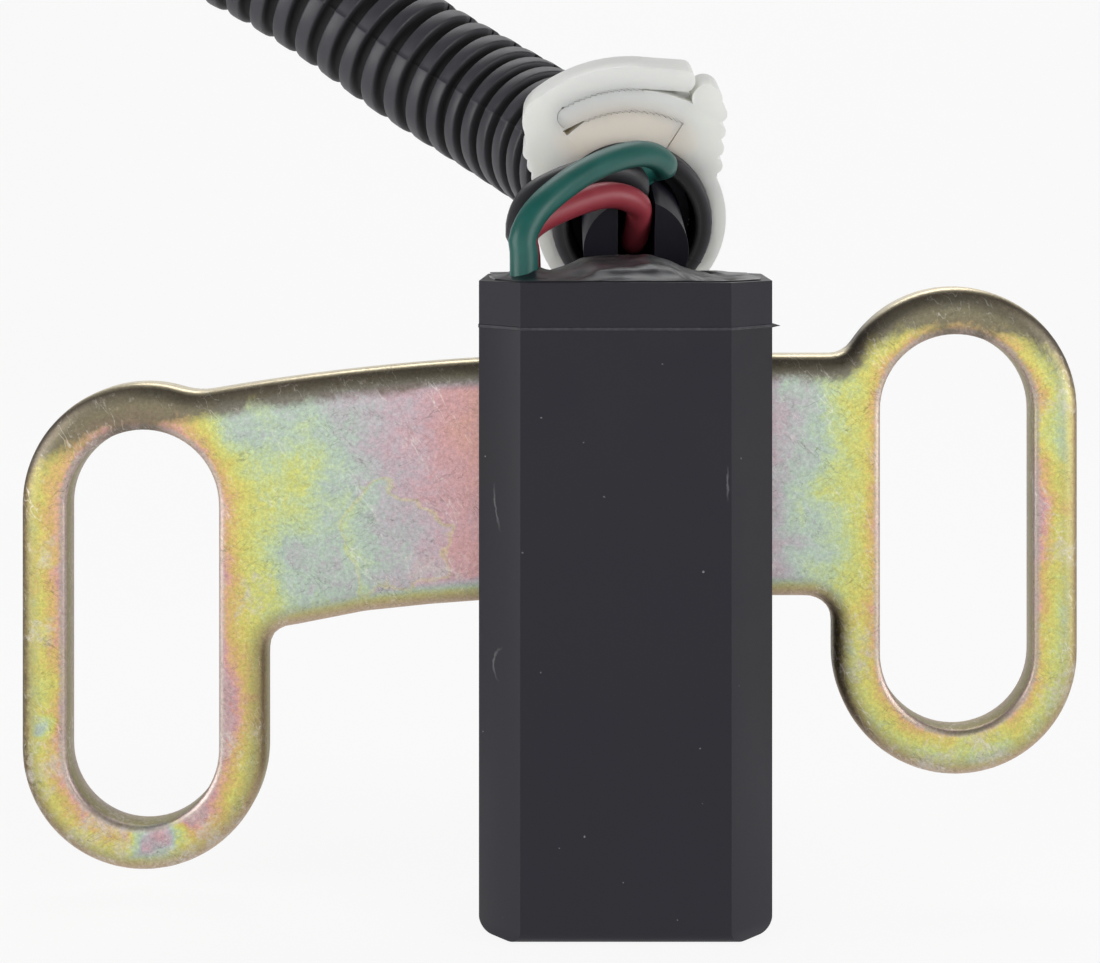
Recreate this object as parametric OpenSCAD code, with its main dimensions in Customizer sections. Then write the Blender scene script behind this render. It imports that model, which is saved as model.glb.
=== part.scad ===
// Crankshaft position sensor: a moulded Hall-effect sensor on a slotted steel bracket,
// with three wires that run through a split loom to a sealed three-way plug.
// +X is to the right, +Y to the back and +Z up. The origin is the centre of the sensing tip,
// the flat lower face of the housing.

/* [Housing] */
// Width of the moulded housing
body_w = 25.7; // [24:0.1:32]
// Depth of the housing from front to back
body_d = 20; // [19:0.1:26]
// Height of the housing from tip to rim
body_h = 56.8; // [54:0.1:70]
// Flat taken off each upright corner
corner_cut = 3.8; // [2:0.1:4.5]
// Rounding of the edges round the tip
tip_edge_r = 1.2; // [0.4:0.1:1.8]
// Thickness of the outer walls
wall = 2; // [1.4:0.1:2.2]
// Thickness of the tip under the chip
tip_wall = 1.2; // [0.8:0.1:2]
// Depth of the potting cup below the rim
cup_depth = 5.3; // [4:0.1:6.5]
// Height of the mould's parting line below the rim
parting_drop = 4.1; // [2:0.1:8]
// How far the flash on the parting line stands out
flash_out = 0.06; // [0.05:0.01:0.3]
// Height of the flash on the parting line
flash_h = 0.3; // [0.2:0.05:0.6]

/* [Bracket] */
// Thickness of the steel plate
plate_t = 3; // [2:0.1:3.5]
// Distance from the housing's front to the plate's front
plate_setback = 12; // [11.5:0.1:13]
// Plastic left between the plate and the well
plate_skin = 0.8; // [0.5:0.1:1.2]
// Width of each bolt slot
slot_w = 14; // [8:0.1:16]
// End-to-end length of each bolt slot
slot_l = 36.4; // [24:0.1:42]
// Width of the rim round each slot
ear_rim = 4.3; // [3:0.1:6]
// Left slot's centre, to the left of the housing's middle
left_slot_x = 44.4; // [42:0.1:60]
// Distance from the rim down to the left slot's centre
left_slot_drop = 32.4; // [30:0.1:34]
// Right slot's centre, to the right of the housing's middle
right_slot_x = 30.5; // [28:0.1:45]
// Distance from the rim down to the right slot's centre
right_slot_drop = 23.6; // [22:0.1:26]
// Distance from the rim down to the arm's upper edge
arm_drop = 7.3; // [7:0.1:9]
// Width of the arm inside the housing
arm_w = 22.3; // [18:0.1:24]
// Radius of the left arm's upper edge, which droops towards its slot
arm_sweep_r = 225; // [200:1:400]
// Radius of the fillets where the arm meets the ears
ear_fillet_r = 2.5; // [1:0.1:4]
// Radius of the dip where the left arm's upper edge meets its ear
dip_r = 6; // [3:0.1:10]
// Radius of the holes that key the plate into the plastic
key_hole_r = 3; // [2:0.1:4]
// Distance from the housing's middle to each key hole
key_hole_x = 5.5; // [4.5:0.1:7]

/* [Spigot and loom] */
// Outside diameter of the split loom
loom_d = 16; // [15:0.1:18]
// Wall of the loom, over its ribs
loom_wall = 1.6; // [1:0.1:2]
// Outside diameter of the slotted spigot
spigot_d = 10; // [9:0.1:11]
// Slot between the spigot's two prongs, for the wires
spigot_slot = 3.5; // [3.2:0.1:4]
// Length of the spigot inside the loom
spigot_in = 10; // [8:0.1:12]
// Length of the spigot in front of the loom
spigot_out = 8.8; // [8.2:0.1:9.4]
// Depth from the spigot's axis down to the floor of its slot
slot_floor = 2.4; // [2.2:0.1:3]
// Gap between the spigot's ridge and the loom
ridge_gap = 0.4; // [0.3:0.05:0.8]
// Length of the ridge along the spigot
ridge_l = 3; // [2:0.1:4]

/* [Hose clamp] */
// Width of the clamp along the loom
clamp_w = 6; // [4:0.1:8]
// Distance from the loom's mouth to the clamp
clamp_setback = 2.5; // [1:0.1:4]
// Gap between the clamp's band and the loom
clamp_gap = 0.05; // [0.03:0.01:0.2]
// Thickness of the clamp's band
band_t = 1.5; // [1:0.1:2]
// Thickness of the clamp's inner jaw
inner_jaw_t = 3.05; // [2.6:0.05:4]
// Thickness of the toothed tongue
tongue_t = 2.2; // [1.6:0.1:3]
// Thickness of the clamp's outer jaw
outer_jaw_t = 2.3; // [1.8:0.1:3]
// Gap between the tongue's teeth and the jaws
tooth_gap = 0.05; // [0.03:0.01:0.2]
// Height of the teeth
tooth_h = 0.25; // [0.15:0.05:0.5]
// Spacing of the teeth along the tongue
tooth_pitch = 0.6; // [0.4:0.05:1]

/* [Wires] */
// Outside diameter of each wire
wire_d = 2.5; // [2:0.05:2.6]
// Diameter of each stripped conductor
core_d = 1.2; // [0.8:0.05:1.4]
// Length of stripped conductor on the circuit board
core_l = 10; // [6:0.5:12]
// Solder left between a conductor and the board
solder_gap = 0.15; // [0.1:0.05:0.3]
// Gap between the left wall and the wires where they enter the potting
wire_inset = 0.65; // [0.6:0.05:0.9]
// Gap between neighbouring wires where they enter the potting
wire_gap = 0.1; // [0.05:0.01:0.15]

/* [Electronics] */
// Radius of the bias magnet
magnet_r = 3; // [2:0.1:3.2]
// Length of the bias magnet
magnet_l = 6; // [4:0.1:8]
// Thickness of the pole piece
pole_t = 1; // [0.6:0.1:2]
// Width, depth and thickness of the Hall chip
chip_size = [4.1, 3, 1.6];
// Spacing of the chip's leads
lead_pitch = 1.27; // [1:0.01:1.4]
// Side of each square lead
lead_t = 0.4; // [0.3:0.05:0.5]
// Width of the chip carrier
carrier_w = 12; // [9:0.1:13]
// Thickness of the circuit board
board_t = 1; // [0.8:0.1:1.6]
// Height of the circuit board
board_h = 30; // [26:0.5:32]
// Height of the potting's mound above the rim
mound_h = 1.7; // [1.4:0.1:3]
// Radius of the potting's domed top
mound_r = 60; // [55:1:120]

/* [Plug] */
// Width of the plug's shell
plug_w = 23; // [20:0.1:28]
// Height of the plug's shell
plug_h = 15; // [13:0.1:18]
// Length of the plug's shell
plug_l = 32; // [29:0.1:38]
// Rounding of the shell's long edges
plug_r = 2.5; // [1:0.1:3]
// Distance between neighbouring wires in the plug
pin_pitch = 5.6; // [5.4:0.1:6.2]
// Depth of the hood that takes the mating plug
hood_depth = 14; // [10:0.1:16]
// Wall of the hood
hood_wall = 2.4; // [1.6:0.1:2.6]
// Depth of the bores for the wire seals
seal_depth = 9; // [7:0.1:10]
// Radius of the bores for the wire seals
seal_r = 2.5; // [2:0.05:2.6]
// Radius of the bores for the terminals
pin_bore_r = 1.4; // [1.2:0.05:1.6]
// Gap between a terminal and its bore
pin_gap = 0.05; // [0.02:0.01:0.1]
// Width and thickness of a terminal's blade
blade_size = [2.2, 0.8];
// Length of a terminal's blade in front of the lock
blade_l = 8; // [5:0.1:10]
// Thickness of the terminal lock
lock_t = 2.4; // [2:0.1:4]
// Width of the rubber ring round the terminal lock
ring_w = 1.6; // [1:0.1:2]
// Thickness of the cap behind the wire seals
cap_t = 2.5; // [2:0.1:4]
// Gap between a blade or a wire and the hole it passes through
pass_gap = 0.1; // [0.05:0.01:0.2]

/* [Hidden] */
$fn = 64;
// Overlap that makes a cut run clear of a face
over = 1;

// The loom's route: its start, measured from the middle of the rim's back edge, and then the arch
// that comes down to the surface on the left
route_start = [[0.8, 6, 4.2], [0.4, 18, 7.2], [-5, 31, 11.2]];
arch = [[-14, 53, 73.5], [-25.5, 60.5, 80.5], [-37, 64.5, 88.5], [-49.5, 67, 95.5], [-63, 68.5, 100.5],
        [-77, 69, 103], [-90, 69, 102], [-103, 69, 98], [-114.5, 69, 91.5], [-124.5, 69.5, 83],
        [-132, 71, 73], [-138, 72.5, 61.5], [-142, 75.5, 49.5], [-144.5, 80, 38], [-147, 87, 27.5],
        [-148.5, 96, 18.5], [-149.5, 107.5, 12], [-150, 120, 8.5], [-150, 133, 8]];
route = concat([for (p = route_start) p + [0, body_d / 2, body_h]], arch);
// Stations of the route that the wires follow inside the loom
wire_stations = [0, 1, 2, 4, 6, 8, 10, 12, 14, 16, 18, 20, 21];
// The wires' loops between the potting and the spigot's slot, with heights above the rim
green_loop = [[-9, -5.3, 3.9], [-7.5, -4.2, 6.5], [-4, -0.4, 9.3], [-0.2, 4, 11], [2.4, 7.5, 11.2],
              [3.9, 10.5, 10.2], [2.4, 13.6, 9.8]];
red_loop = [[-8.8, -2.4, 4.3], [-6, 0.4, 6.1], [-1.8, 4.1, 7.4], [1.1, 6.4, 6.6], [1.3, 9, 4.6],
            [0.9, 12, 2.9]];
black_loop = [[-9.7, 0.6, 4.3], [-8.6, 2.5, 7.2], [-4.8, 4.6, 9.2], [-1.4, 6.8, 9.8], [0.9, 8.8, 9],
              [1.1, 10.5, 7.4], [1, 12.4, 5.9]];
// Spacing of the three wires where they lie in a row in the slot and the loom
row_pitch = 2.7;
// How far the row's middle lies above the loom's axis at each of its first stations
row_lift = [1.9, 1.7, 0.6, 0];
// Where the plug's rear face lies behind the loom's end
plug_gap = 15;
// Sides of the swept tubes
loom_sides = 12;
wire_sides = 8;

plate_y = plate_setback - body_d / 2;
well_front = wall - body_d / 2;
well_back = plate_y - plate_skin;
well_mid = (well_front + well_back) / 2;
cup_z = body_h - cup_depth;
ear_r = slot_w / 2 + ear_rim;
left_slot_z = body_h - left_slot_drop;
right_slot_z = body_h - right_slot_drop;
arm_high = body_h - arm_drop;
arm_low = arm_high - arm_w;
slot_run = slot_l - slot_w;
loom_id = loom_d - 2 * loom_wall;
clamp_bore_r = loom_d / 2 + clamp_gap;
jaw_r1 = clamp_bore_r + inner_jaw_t;
jaw_r2 = jaw_r1 + tongue_t;
jaw_r3 = jaw_r2 + outer_jaw_t;

// The wires stand in a row along Y at the left of the well, in the order green, red, black
wire_x = wall + wire_d / 2 + wire_inset - body_w / 2;
wire_step = wire_d + wire_gap;
wire_ys = [for (k = [2, 1, 0]) well_back - wire_d / 2 - wire_gap - k * wire_step];
loop_start_z = body_h + 2.7;
board_x = wire_x + core_d / 2 + solder_gap;
board_z = cup_z - 6.5 - board_h;
strip_z = board_z + board_h;
board_front = well_front + 1;
board_back = well_back - 0.3;
chip_top = tip_wall + chip_size[2];
magnet_z = chip_top + pole_t;
carrier_h = chip_size[2] + pole_t + magnet_l + 2;
lead_x = board_x + board_t;
lead_z = tip_wall + chip_size[2] / 2 - lead_t / 2;
lead_top = board_z + 5;
lead_ys = [for (k = [-1, 0, 1]) well_mid + k * lead_pitch];

route_end = route[len(route) - 1];
plug_y = route_end[1] + plug_gap;
pin_xs = [for (k = [-1, 0, 1]) route_end[0] + k * pin_pitch];
pin_z = plug_h / 2;
hood_y = plug_y + plug_l - hood_depth;
hood_w = plug_w - 2 * hood_wall;
hood_h = plug_h - 2 * hood_wall;
lock_w = hood_w - 2 * ring_w;
lock_h = hood_h - 2 * ring_w;
wire_end_y = plug_y + seal_depth;
crimp_l = 3;

// Vector helpers and the frames that are carried along a path
function unit(v) = v / norm(v);
function tangent(p, i) = unit(p[min(i + 1, len(p) - 1)] - p[max(i - 1, 0)]);
function square_to(v, t) = unit(v - (v * t) * t);
function carried(p, v) = [for (i = 0, u = square_to(v, tangent(p, 0)); i < len(p);
    i = i + 1, u = i < len(p) ? square_to(u, tangent(p, i)) : u) u];
function ring(c, t, u, r, n) = let (s = cross(t, u))
    [for (k = [0 : n - 1]) c + r * (cos(360 * k / n) * s + sin(360 * k / n) * u)];
function skin(rings, n, from, flip) = [for (i = [0 : rings - 2], k = [0 : n - 1], half = [0, 1])
    let (a = from + i * n + k, b = from + i * n + (k + 1) % n, c = b + n, d = a + n)
    let (face = half == 0 ? [a, b, c] : [a, c, d]) flip ? [face[2], face[1], face[0]] : face];

// A solid tube swept along a path
module cord(path, r, n, up) {
    ups = carried(path, up);
    rings = len(path);
    points = [for (i = [0 : rings - 1]) each ring(path[i], tangent(path, i), ups[i], r, n)];
    first = [for (k = [0 : n - 1]) k];
    last = [for (k = [n - 1 : -1 : 0]) (rings - 1) * n + k];
    polyhedron(points, concat([first], skin(rings, n, 0, true), [last]));
}

// A hollow tube swept along a path, open at both ends
module hose(path, r_out, r_in, n, up) {
    ups = carried(path, up);
    rings = len(path);
    inner = rings * n;
    points = [for (r = [r_out, r_in], i = [0 : rings - 1])
        each ring(path[i], tangent(path, i), ups[i], r, n)];
    mouth = [for (k = [0 : n - 1]) let (m = (k + 1) % n) each [[k, m, inner + m], [k, inner + m, inner + k]]];
    far = (rings - 1) * n;
    tail = [for (k = [0 : n - 1]) let (m = (k + 1) % n)
        each [[far + m, far + k, inner + far + k], [far + m, inner + far + k, inner + far + m]]];
    polyhedron(points, concat(mouth, skin(rings, n, 0, true), skin(rings, n, inner, false), tail));
}

// The frame of the loom's mouth: local Z runs into the loom and local Y is up
module at_mouth() {
    step = route[1] - route[0];
    heading = atan2(-step[0], step[1]);
    rise = atan2(step[2], norm([step[0], step[1]]));
    translate(route[0]) rotate([0, 0, heading]) rotate([rise - 90, 0, 0]) rotate([0, 0, 180]) children();
}

// The housing's octagonal plan, moved in from its outer faces
module plan(inset) {
    w = body_w / 2 - inset;
    d = body_d / 2 - inset;
    c = corner_cut - (2 - sqrt(2)) * inset;
    polygon([[w, c - d], [w, d - c], [w - c, d], [c - w, d], [-w, d - c], [-w, c - d], [c - w, -d], [w - c, -d]]);
}

// An upright outline with round lower corners
module round_foot(w, h, r) {
    translate([-w / 2, r]) square([w, h - r]);
    translate([r - w / 2, 0]) square([w - 2 * r, 2 * r]);
    for (s = [-1, 1]) translate([s * (w / 2 - r), r]) circle(r);
}

module housing_block() {
    intersection() {
        linear_extrude(body_h) plan(0);
        rotate([90, 0, 0]) linear_extrude(body_d + over, center = true) round_foot(body_w, body_h, tip_edge_r);
        rotate([90, 0, 90]) linear_extrude(body_w + over, center = true) round_foot(body_d, body_h, tip_edge_r);
    }
    translate([0, 0, body_h - parting_drop]) linear_extrude(flash_h) plan(-flash_out);
}

// The slotted spigot that the loom is pushed over, with a ridge under the clamp
module spigot() {
    ridge_r = loom_id / 2 * cos(180 / loom_sides) - ridge_gap / 2;
    ridge_z = clamp_setback + clamp_w / 2;
    at_mouth() difference() {
        union() {
            translate([0, 0, -spigot_out]) cylinder(r = spigot_d / 2, h = spigot_out + spigot_in);
            rotate_extrude() polygon([[0, ridge_z - ridge_l / 2], [ridge_r, ridge_z - ridge_l / 2],
                [ridge_r, ridge_z], [spigot_d / 2, ridge_z + ridge_l / 2], [0, ridge_z + ridge_l / 2]]);
        }
        translate([-spigot_slot / 2, -slot_floor, -spigot_out - over])
            cube([spigot_slot, spigot_d, spigot_out + spigot_in + 2 * over]);
    }
}

// The well for the electronics and the cup above it, both filled with potting
module well() {
    translate([0, 0, tip_wall]) linear_extrude(cup_z - tip_wall + over) intersection() {
        plan(wall);
        translate([-body_w, -body_d]) square([2 * body_w, body_d + well_back]);
    }
    translate([0, 0, cup_z]) linear_extrude(cup_depth) plan(wall);
}

module housing() {
    color([0.17, 0.17, 0.19]) union() {
        difference() {
            housing_block();
            well();
            plate();
        }
        difference() {
            spigot();
            translate([0, 0, cup_z]) linear_extrude(cup_depth) plan(0);
        }
        intersection() {
            spigot();
            translate([0, 0, cup_z]) linear_extrude(cup_depth) difference() {
                plan(0);
                plan(wall);
            }
        }
    }
}

// A slot's outline, or with a wider radius the ear round it
module ear_shape(x, z, r) {
    for (s = [-1, 1]) translate([x, z + s * slot_run / 2]) circle(r);
    translate([x - r, z - slot_run / 2]) square([2 * r, slot_run]);
}

// The patch that fills the corner at a point towards [sx, sz] with a fillet
module corner_fillet(x, z, sx, sz) {
    translate([x, z]) difference() {
        translate([min(0, sx * ear_fillet_r), min(0, sz * ear_fillet_r)]) square(ear_fillet_r);
        translate([sx, sz] * ear_fillet_r) circle(ear_fillet_r);
    }
}

// The right arm, whose upper edge runs into the ear's round end through a fillet
module right_arm() {
    rise = arm_high - right_slot_z - slot_run / 2;
    reach = ear_r + ear_fillet_r;
    run = sqrt(pow(reach, 2) - pow(rise + ear_fillet_r, 2));
    touch_x = right_slot_x - run * ear_r / reach;
    touch_z = arm_high - rise + (rise + ear_fillet_r) * ear_r / reach;
    difference() {
        polygon([[0, arm_low], [right_slot_x, arm_low], [right_slot_x, touch_z], [touch_x, touch_z],
            [right_slot_x - run, arm_high], [0, arm_high]]);
        translate([right_slot_x - run, arm_high + ear_fillet_r]) circle(ear_fillet_r);
    }
}

// The left arm, a sector of a wide ring whose upper edge runs into the ear through a shallow dip
module left_arm() {
    hub = [0, arm_high - arm_sweep_r];
    ear = [-left_slot_x, left_slot_z + slot_run / 2];
    span = norm(ear - hub);
    to_ear = (ear - hub) / span;
    far_r = arm_sweep_r + dip_r;
    near_r = ear_r + dip_r;
    along = (pow(far_r, 2) - pow(near_r, 2) + pow(span, 2)) / (2 * span);
    dip = hub + along * to_ear + sqrt(pow(far_r, 2) - pow(along, 2)) * [to_ear[1], -to_ear[0]];
    touch_arm = hub + (dip - hub) * arm_sweep_r / far_r;
    touch_ear = ear + (dip - ear) * ear_r / near_r;
    difference() {
        union() {
            intersection() {
                translate(hub) circle(arm_sweep_r, $fn = 256);
                translate([-left_slot_x, 0]) square([left_slot_x, body_h]);
            }
            polygon([touch_arm, touch_ear, ear, touch_arm - [0, ear_r]]);
        }
        translate(hub) circle(arm_sweep_r - arm_w, $fn = 256);
        translate(dip) circle(dip_r);
    }
}

module plate_outline() {
    ear_side = ear_r - left_slot_x;
    corner_z = arm_high - arm_sweep_r + sqrt(pow(arm_sweep_r - arm_w, 2) - pow(ear_side, 2));
    difference() {
        union() {
            ear_shape(-left_slot_x, left_slot_z, ear_r);
            ear_shape(right_slot_x, right_slot_z, ear_r);
            right_arm();
            translate([-over, arm_low + over]) square([2 * over, arm_high - arm_low - 2 * over]);
            left_arm();
            corner_fillet(ear_side, corner_z, 1, -1);
            corner_fillet(right_slot_x - ear_r, arm_low, -1, -1);
        }
        ear_shape(-left_slot_x, left_slot_z, slot_w / 2);
        ear_shape(right_slot_x, right_slot_z, slot_w / 2);
        for (s = [-1, 1]) translate([s * key_hole_x, (arm_low + arm_high) / 2]) circle(key_hole_r);
    }
}

module plate() {
    translate([0, plate_y + plate_t, 0]) rotate([90, 0, 0]) linear_extrude(plate_t) plate_outline();
}

module bracket() {
    color([0.72, 0.66, 0.45]) plate();
}

// The hole that one wire's straight foot leaves in the potting
module wire_foot(k) {
    translate([wire_x, wire_ys[k], strip_z]) cylinder(d = wire_d, h = loop_start_z - strip_z, $fn = wire_sides);
}

module potting() {
    color([0.1, 0.1, 0.11]) difference() {
        union() {
            well();
            intersection() {
                translate([0, 0, body_h]) linear_extrude(2 * mound_h) plan(wall / 2);
                translate([0, 0, body_h + mound_h - mound_r]) sphere(mound_r);
            }
        }
        spigot();
        carrier_block();
        chip_block();
        leads();
        board();
        for (k = [0 : 2]) {
            wire_foot(k);
            board_core(k);
            wire_joint(k);
            lead_joint(k);
        }
        for (part = board_parts) board_part(part);
    }
}

// The carrier holds the chip against the tip, with the pole piece and magnet above it
module carrier_block() {
    translate([-carrier_w / 2, well_front, tip_wall]) cube([carrier_w, well_back - well_front, carrier_h]);
}

module chip_carrier() {
    color([0.82, 0.8, 0.72]) difference() {
        carrier_block();
        chip_block();
        leads();
        translate([0, well_mid, chip_top]) cylinder(r = magnet_r, h = pole_t + magnet_l);
    }
}

module chip_block() {
    translate([-chip_size[0] / 2, well_mid - chip_size[1] / 2, tip_wall]) cube(chip_size);
}

module hall_chip() {
    color([0.12, 0.12, 0.13]) chip_block();
}

// Three leads run out to the left of the chip and up the board's face
module leads() {
    for (y = lead_ys) translate([lead_x, y - lead_t / 2, lead_z]) {
        cube([-chip_size[0] / 2 - lead_x, lead_t, lead_t]);
        cube([lead_t, lead_t, lead_top - lead_z]);
    }
}

module chip_leads() {
    color([0.78, 0.78, 0.76]) leads();
}

module pole_piece() {
    color([0.55, 0.55, 0.57]) translate([0, well_mid, chip_top]) cylinder(r = magnet_r, h = pole_t);
}

module bias_magnet() {
    color([0.45, 0.45, 0.48]) translate([0, well_mid, magnet_z]) cylinder(r = magnet_r, h = magnet_l);
}

module board() {
    translate([board_x, board_front, board_z]) cube([board_t, board_back - board_front, board_h]);
}

module circuit_board() {
    color([0.1, 0.35, 0.2]) board();
}

// Parts on the board's right face: height on the board, then depth, width and height
board_parts = [[10, 1.2, 3, 2], [15, 1.2, 3, 2], [20, 0.7, 3, 1.6]];

module board_part(part) {
    translate([lead_x, well_mid - part[2] / 2, board_z + part[0]]) cube([part[1], part[2], part[3]]);
}

module bypass_capacitor() {
    color([0.66, 0.55, 0.42]) board_part(board_parts[0]);
}

module output_capacitor() {
    color([0.66, 0.55, 0.42]) board_part(board_parts[1]);
}

module pull_up_resistor() {
    color([0.15, 0.15, 0.16]) board_part(board_parts[2]);
}

module board_core(k) {
    translate([wire_x, wire_ys[k], strip_z - core_l]) cylinder(d = core_d, h = core_l, $fn = 32);
}

// A solder joint round a conductor, flush with the board's left face
module wire_joint(k) {
    joint_h = core_l / 2;
    translate([wire_x, wire_ys[k], strip_z - core_l + joint_h / 2]) difference() {
        cylinder(d = wire_d - 0.3, h = joint_h, $fn = 32);
        translate([board_x - wire_x, -wire_d, -over]) cube([wire_d, 2 * wire_d, joint_h + 2 * over]);
        translate([0, 0, -over]) cylinder(d = core_d, h = joint_h + 2 * over, $fn = 32);
    }
}

// A solder joint over a lead's end, flush with the board's right face
module lead_joint(k) {
    joint_h = 1.6;
    translate([lead_x, lead_ys[k], lead_top - joint_h]) difference() {
        cylinder(d = lead_pitch - 0.2, h = joint_h, $fn = 32);
        translate([-lead_pitch, -lead_pitch, -over]) cube([lead_pitch, 2 * lead_pitch, joint_h + 2 * over]);
        translate([0, -lead_t / 2, -over]) cube([lead_t, lead_t, joint_h + 2 * over]);
    }
}

module solder_joints() {
    color([0.75, 0.75, 0.78]) for (k = [0 : 2]) {
        wire_joint(k);
        lead_joint(k);
    }
}

// Where a wire of the row lies at a station of the loom: upright in the slot, level at the plug
function in_loom(i, k) = let (t = tangent(route, i), s = unit(cross(t, [0, 0, 1])), u = cross(s, t),
    turn = 90 * max(0, i - 2) / (len(route) - 3), lift = row_lift[min(i, len(row_lift) - 1)])
    route[i] + u * (lift + k * row_pitch * cos(turn)) + s * (k * row_pitch * sin(turn));

// A wire from its foot in the potting, over its loop and through the loom to its seal in the plug
module wire(k, loop, row, pin) {
    foot = [wire_x, wire_ys[k], loop_start_z];
    entry = [pin_xs[pin], plug_y - cap_t - 2, pin_z];
    path = concat([[foot[0], foot[1], strip_z], foot - [0, 0, 0.6], foot], [for (p = loop) p + [0, 0, body_h]],
        [for (i = wire_stations) in_loom(i, row)],
        [entry, entry + [0, 0.6, 0], [entry[0], wire_end_y, entry[2]]]);
    cord(path, wire_d / 2, wire_sides, [0, -1, 0]);
}

module green_wire() {
    color([0.14, 0.42, 0.38]) wire(0, green_loop, 1, 2);
}

module red_wire() {
    color([0.6, 0.2, 0.24]) wire(1, red_loop, -1, 0);
}

module black_wire() {
    color([0.2, 0.2, 0.2]) wire(2, black_loop, 0, 1);
}

// A stripped conductor at each end of a wire
module cores(k, pin) {
    board_core(k);
    translate([pin_xs[pin], wire_end_y, pin_z]) rotate([-90, 0, 0]) cylinder(d = core_d, h = crimp_l, $fn = 32);
}

module green_core() {
    color([0.8, 0.5, 0.3]) cores(0, 2);
}

module red_core() {
    color([0.8, 0.5, 0.3]) cores(1, 0);
}

module black_core() {
    color([0.8, 0.5, 0.3]) cores(2, 1);
}

module loom() {
    color([0.14, 0.14, 0.16]) hose(route, loom_d / 2, loom_id / 2, loom_sides, [0, 0, 1]);
}

// A sector of a ring in the clamp's plane
module sector(r_in, r_out, from, to) {
    reach = r_out / cos((to - from) / 4);
    mid = (from + to) / 2;
    intersection() {
        difference() {
            circle(r_out);
            circle(r_in);
        }
        polygon([[0, 0], reach * [cos(from), sin(from)], reach * 1.2 * [cos(mid), sin(mid)], reach * [cos(to), sin(to)]]);
    }
}

// A saw-toothed slit along an arc, which leaves two rows of meshed teeth
module toothed_slit(r, from, to) {
    teeth = round((to - from) * PI / 180 * r / tooth_pitch);
    step = (to - from) / teeth;
    saw = [for (i = [0 : teeth - 1], e = [0, 1]) [from + (i + 0.9 * e) * step, r + (e - 0.5) * tooth_h]];
    polygon(concat([for (p = saw) (p[1] + tooth_gap / 2) * [cos(p[0]), sin(p[0])]],
        [for (i = [len(saw) - 1 : -1 : 0]) (saw[i][1] - tooth_gap / 2) * [cos(saw[i][0]), sin(saw[i][0])]]));
}

// A wedge given by angle and radius at each corner
module polar_wedge(corners) {
    polygon([for (c = corners) c[1] * [cos(c[0]), sin(c[0])]]);
}

// The straight free end of the outer jaw, with a round nose
module jaw_end(l, t, nose_r) {
    square([l - nose_r, t]);
    translate([0, nose_r]) square([l, t - 2 * nose_r]);
    for (z = [nose_r, t - nose_r]) translate([l - nose_r, z]) circle(nose_r, $fn = 32);
}

// The clamp as seen from the front: a tongue from the right lies between two jaws from the left
module clamp_profile() {
    seam_from = 86;
    tip_a = 121;
    root_a = 63;
    heel_a = 130;
    heel_r = 2.5;
    pad_low = 4.5;
    bump_r = 0.85;
    tab_r = 1.5;
    tip_r = tongue_t / 2;
    tooth_reach = (tooth_h + tooth_gap) / 2;
    pad_x = clamp_bore_r + 0.9;
    tab_z = jaw_r1 + 1.2;
    heel_z = (jaw_r3 - heel_r) * sin(heel_a);
    heel_x = (jaw_r3 - heel_r) * cos(heel_a) - heel_r;
    difference() {
        union() {
            circle(clamp_bore_r + band_t);
            sector(clamp_bore_r, jaw_r3, seam_from, heel_a);
            rotate(heel_a) translate([jaw_r3 - heel_r - 0.05, 0]) circle(heel_r, $fn = 48);
            rotate(seam_from - 90) translate([-0.2, jaw_r2 + tooth_reach])
                jaw_end(5.4, outer_jaw_t - tooth_reach - 0.02, 1);
            sector(clamp_bore_r, jaw_r2, 52, seam_from + 2);
            polygon([[clamp_bore_r - 2.6, pad_low], [pad_x - 0.4, pad_low], [pad_x - 0.03, tab_z],
                [pad_x - 2 * tab_r + 0.3, tab_z], [pad_x - 2 * tab_r - 0.35, tab_z - 1.3]]);
            translate([pad_x - tab_r, tab_z]) circle(tab_r, $fn = 32);
            for (i = [0 : 3]) translate([pad_x - 0.35 - 0.12 * i, tab_z - 1.45 - 1.75 * i]) circle(bump_r, $fn = 32);
            polygon([[heel_x + 0.02, heel_z], [heel_x + 0.45, heel_z - 2.2], [heel_x + 1.55, pad_low - 0.9],
                [heel_x + 4.1, pad_low - 0.9], [0, heel_z]]);
            for (i = [0 : 2]) translate([heel_x + 0.92 + 0.42 * i, heel_z - 3.1 - 1.3 * i]) circle(bump_r, $fn = 32);
        }
        circle(clamp_bore_r);
        toothed_slit(jaw_r2, seam_from - 1, tip_a);
        toothed_slit(jaw_r1, root_a - 0.3, tip_a - 5);
        polar_wedge([[tip_a - 0.6, jaw_r2 - 0.02], [tip_a - 0.6, jaw_r2 + tooth_reach], [tip_a + 0.6, jaw_r2 + tooth_reach],
            [tip_a + 0.6, jaw_r2 - 0.02]]);
        rotate(tip_a) translate([jaw_r1 + tip_r, 0]) intersection() {
            difference() {
                circle(tip_r + tooth_gap);
                circle(tip_r);
            }
            translate([-2 * tip_r, 0]) square([4 * tip_r, 2 * tip_r]);
        }
        polar_wedge([[tip_a - 5.6, jaw_r1 + tooth_reach], [tip_a + 6.3, jaw_r1 + 0.35], [tip_a + 5.8, jaw_r1 - 0.3],
            [tip_a - 5.6, jaw_r1 + 0.03]]);
        polar_wedge([[root_a + 0.15, jaw_r1 + tooth_h / 2], [root_a - 0.15, jaw_r1 + tooth_h / 2],
            [root_a + 1.9, clamp_bore_r - over], [root_a + 3.2, clamp_bore_r - over]]);
    }
}

module hose_clamp() {
    color([0.88, 0.88, 0.85]) at_mouth() translate([0, 0, clamp_setback]) linear_extrude(clamp_w)
        mirror([1, 0, 0]) clamp_profile();
}

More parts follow.
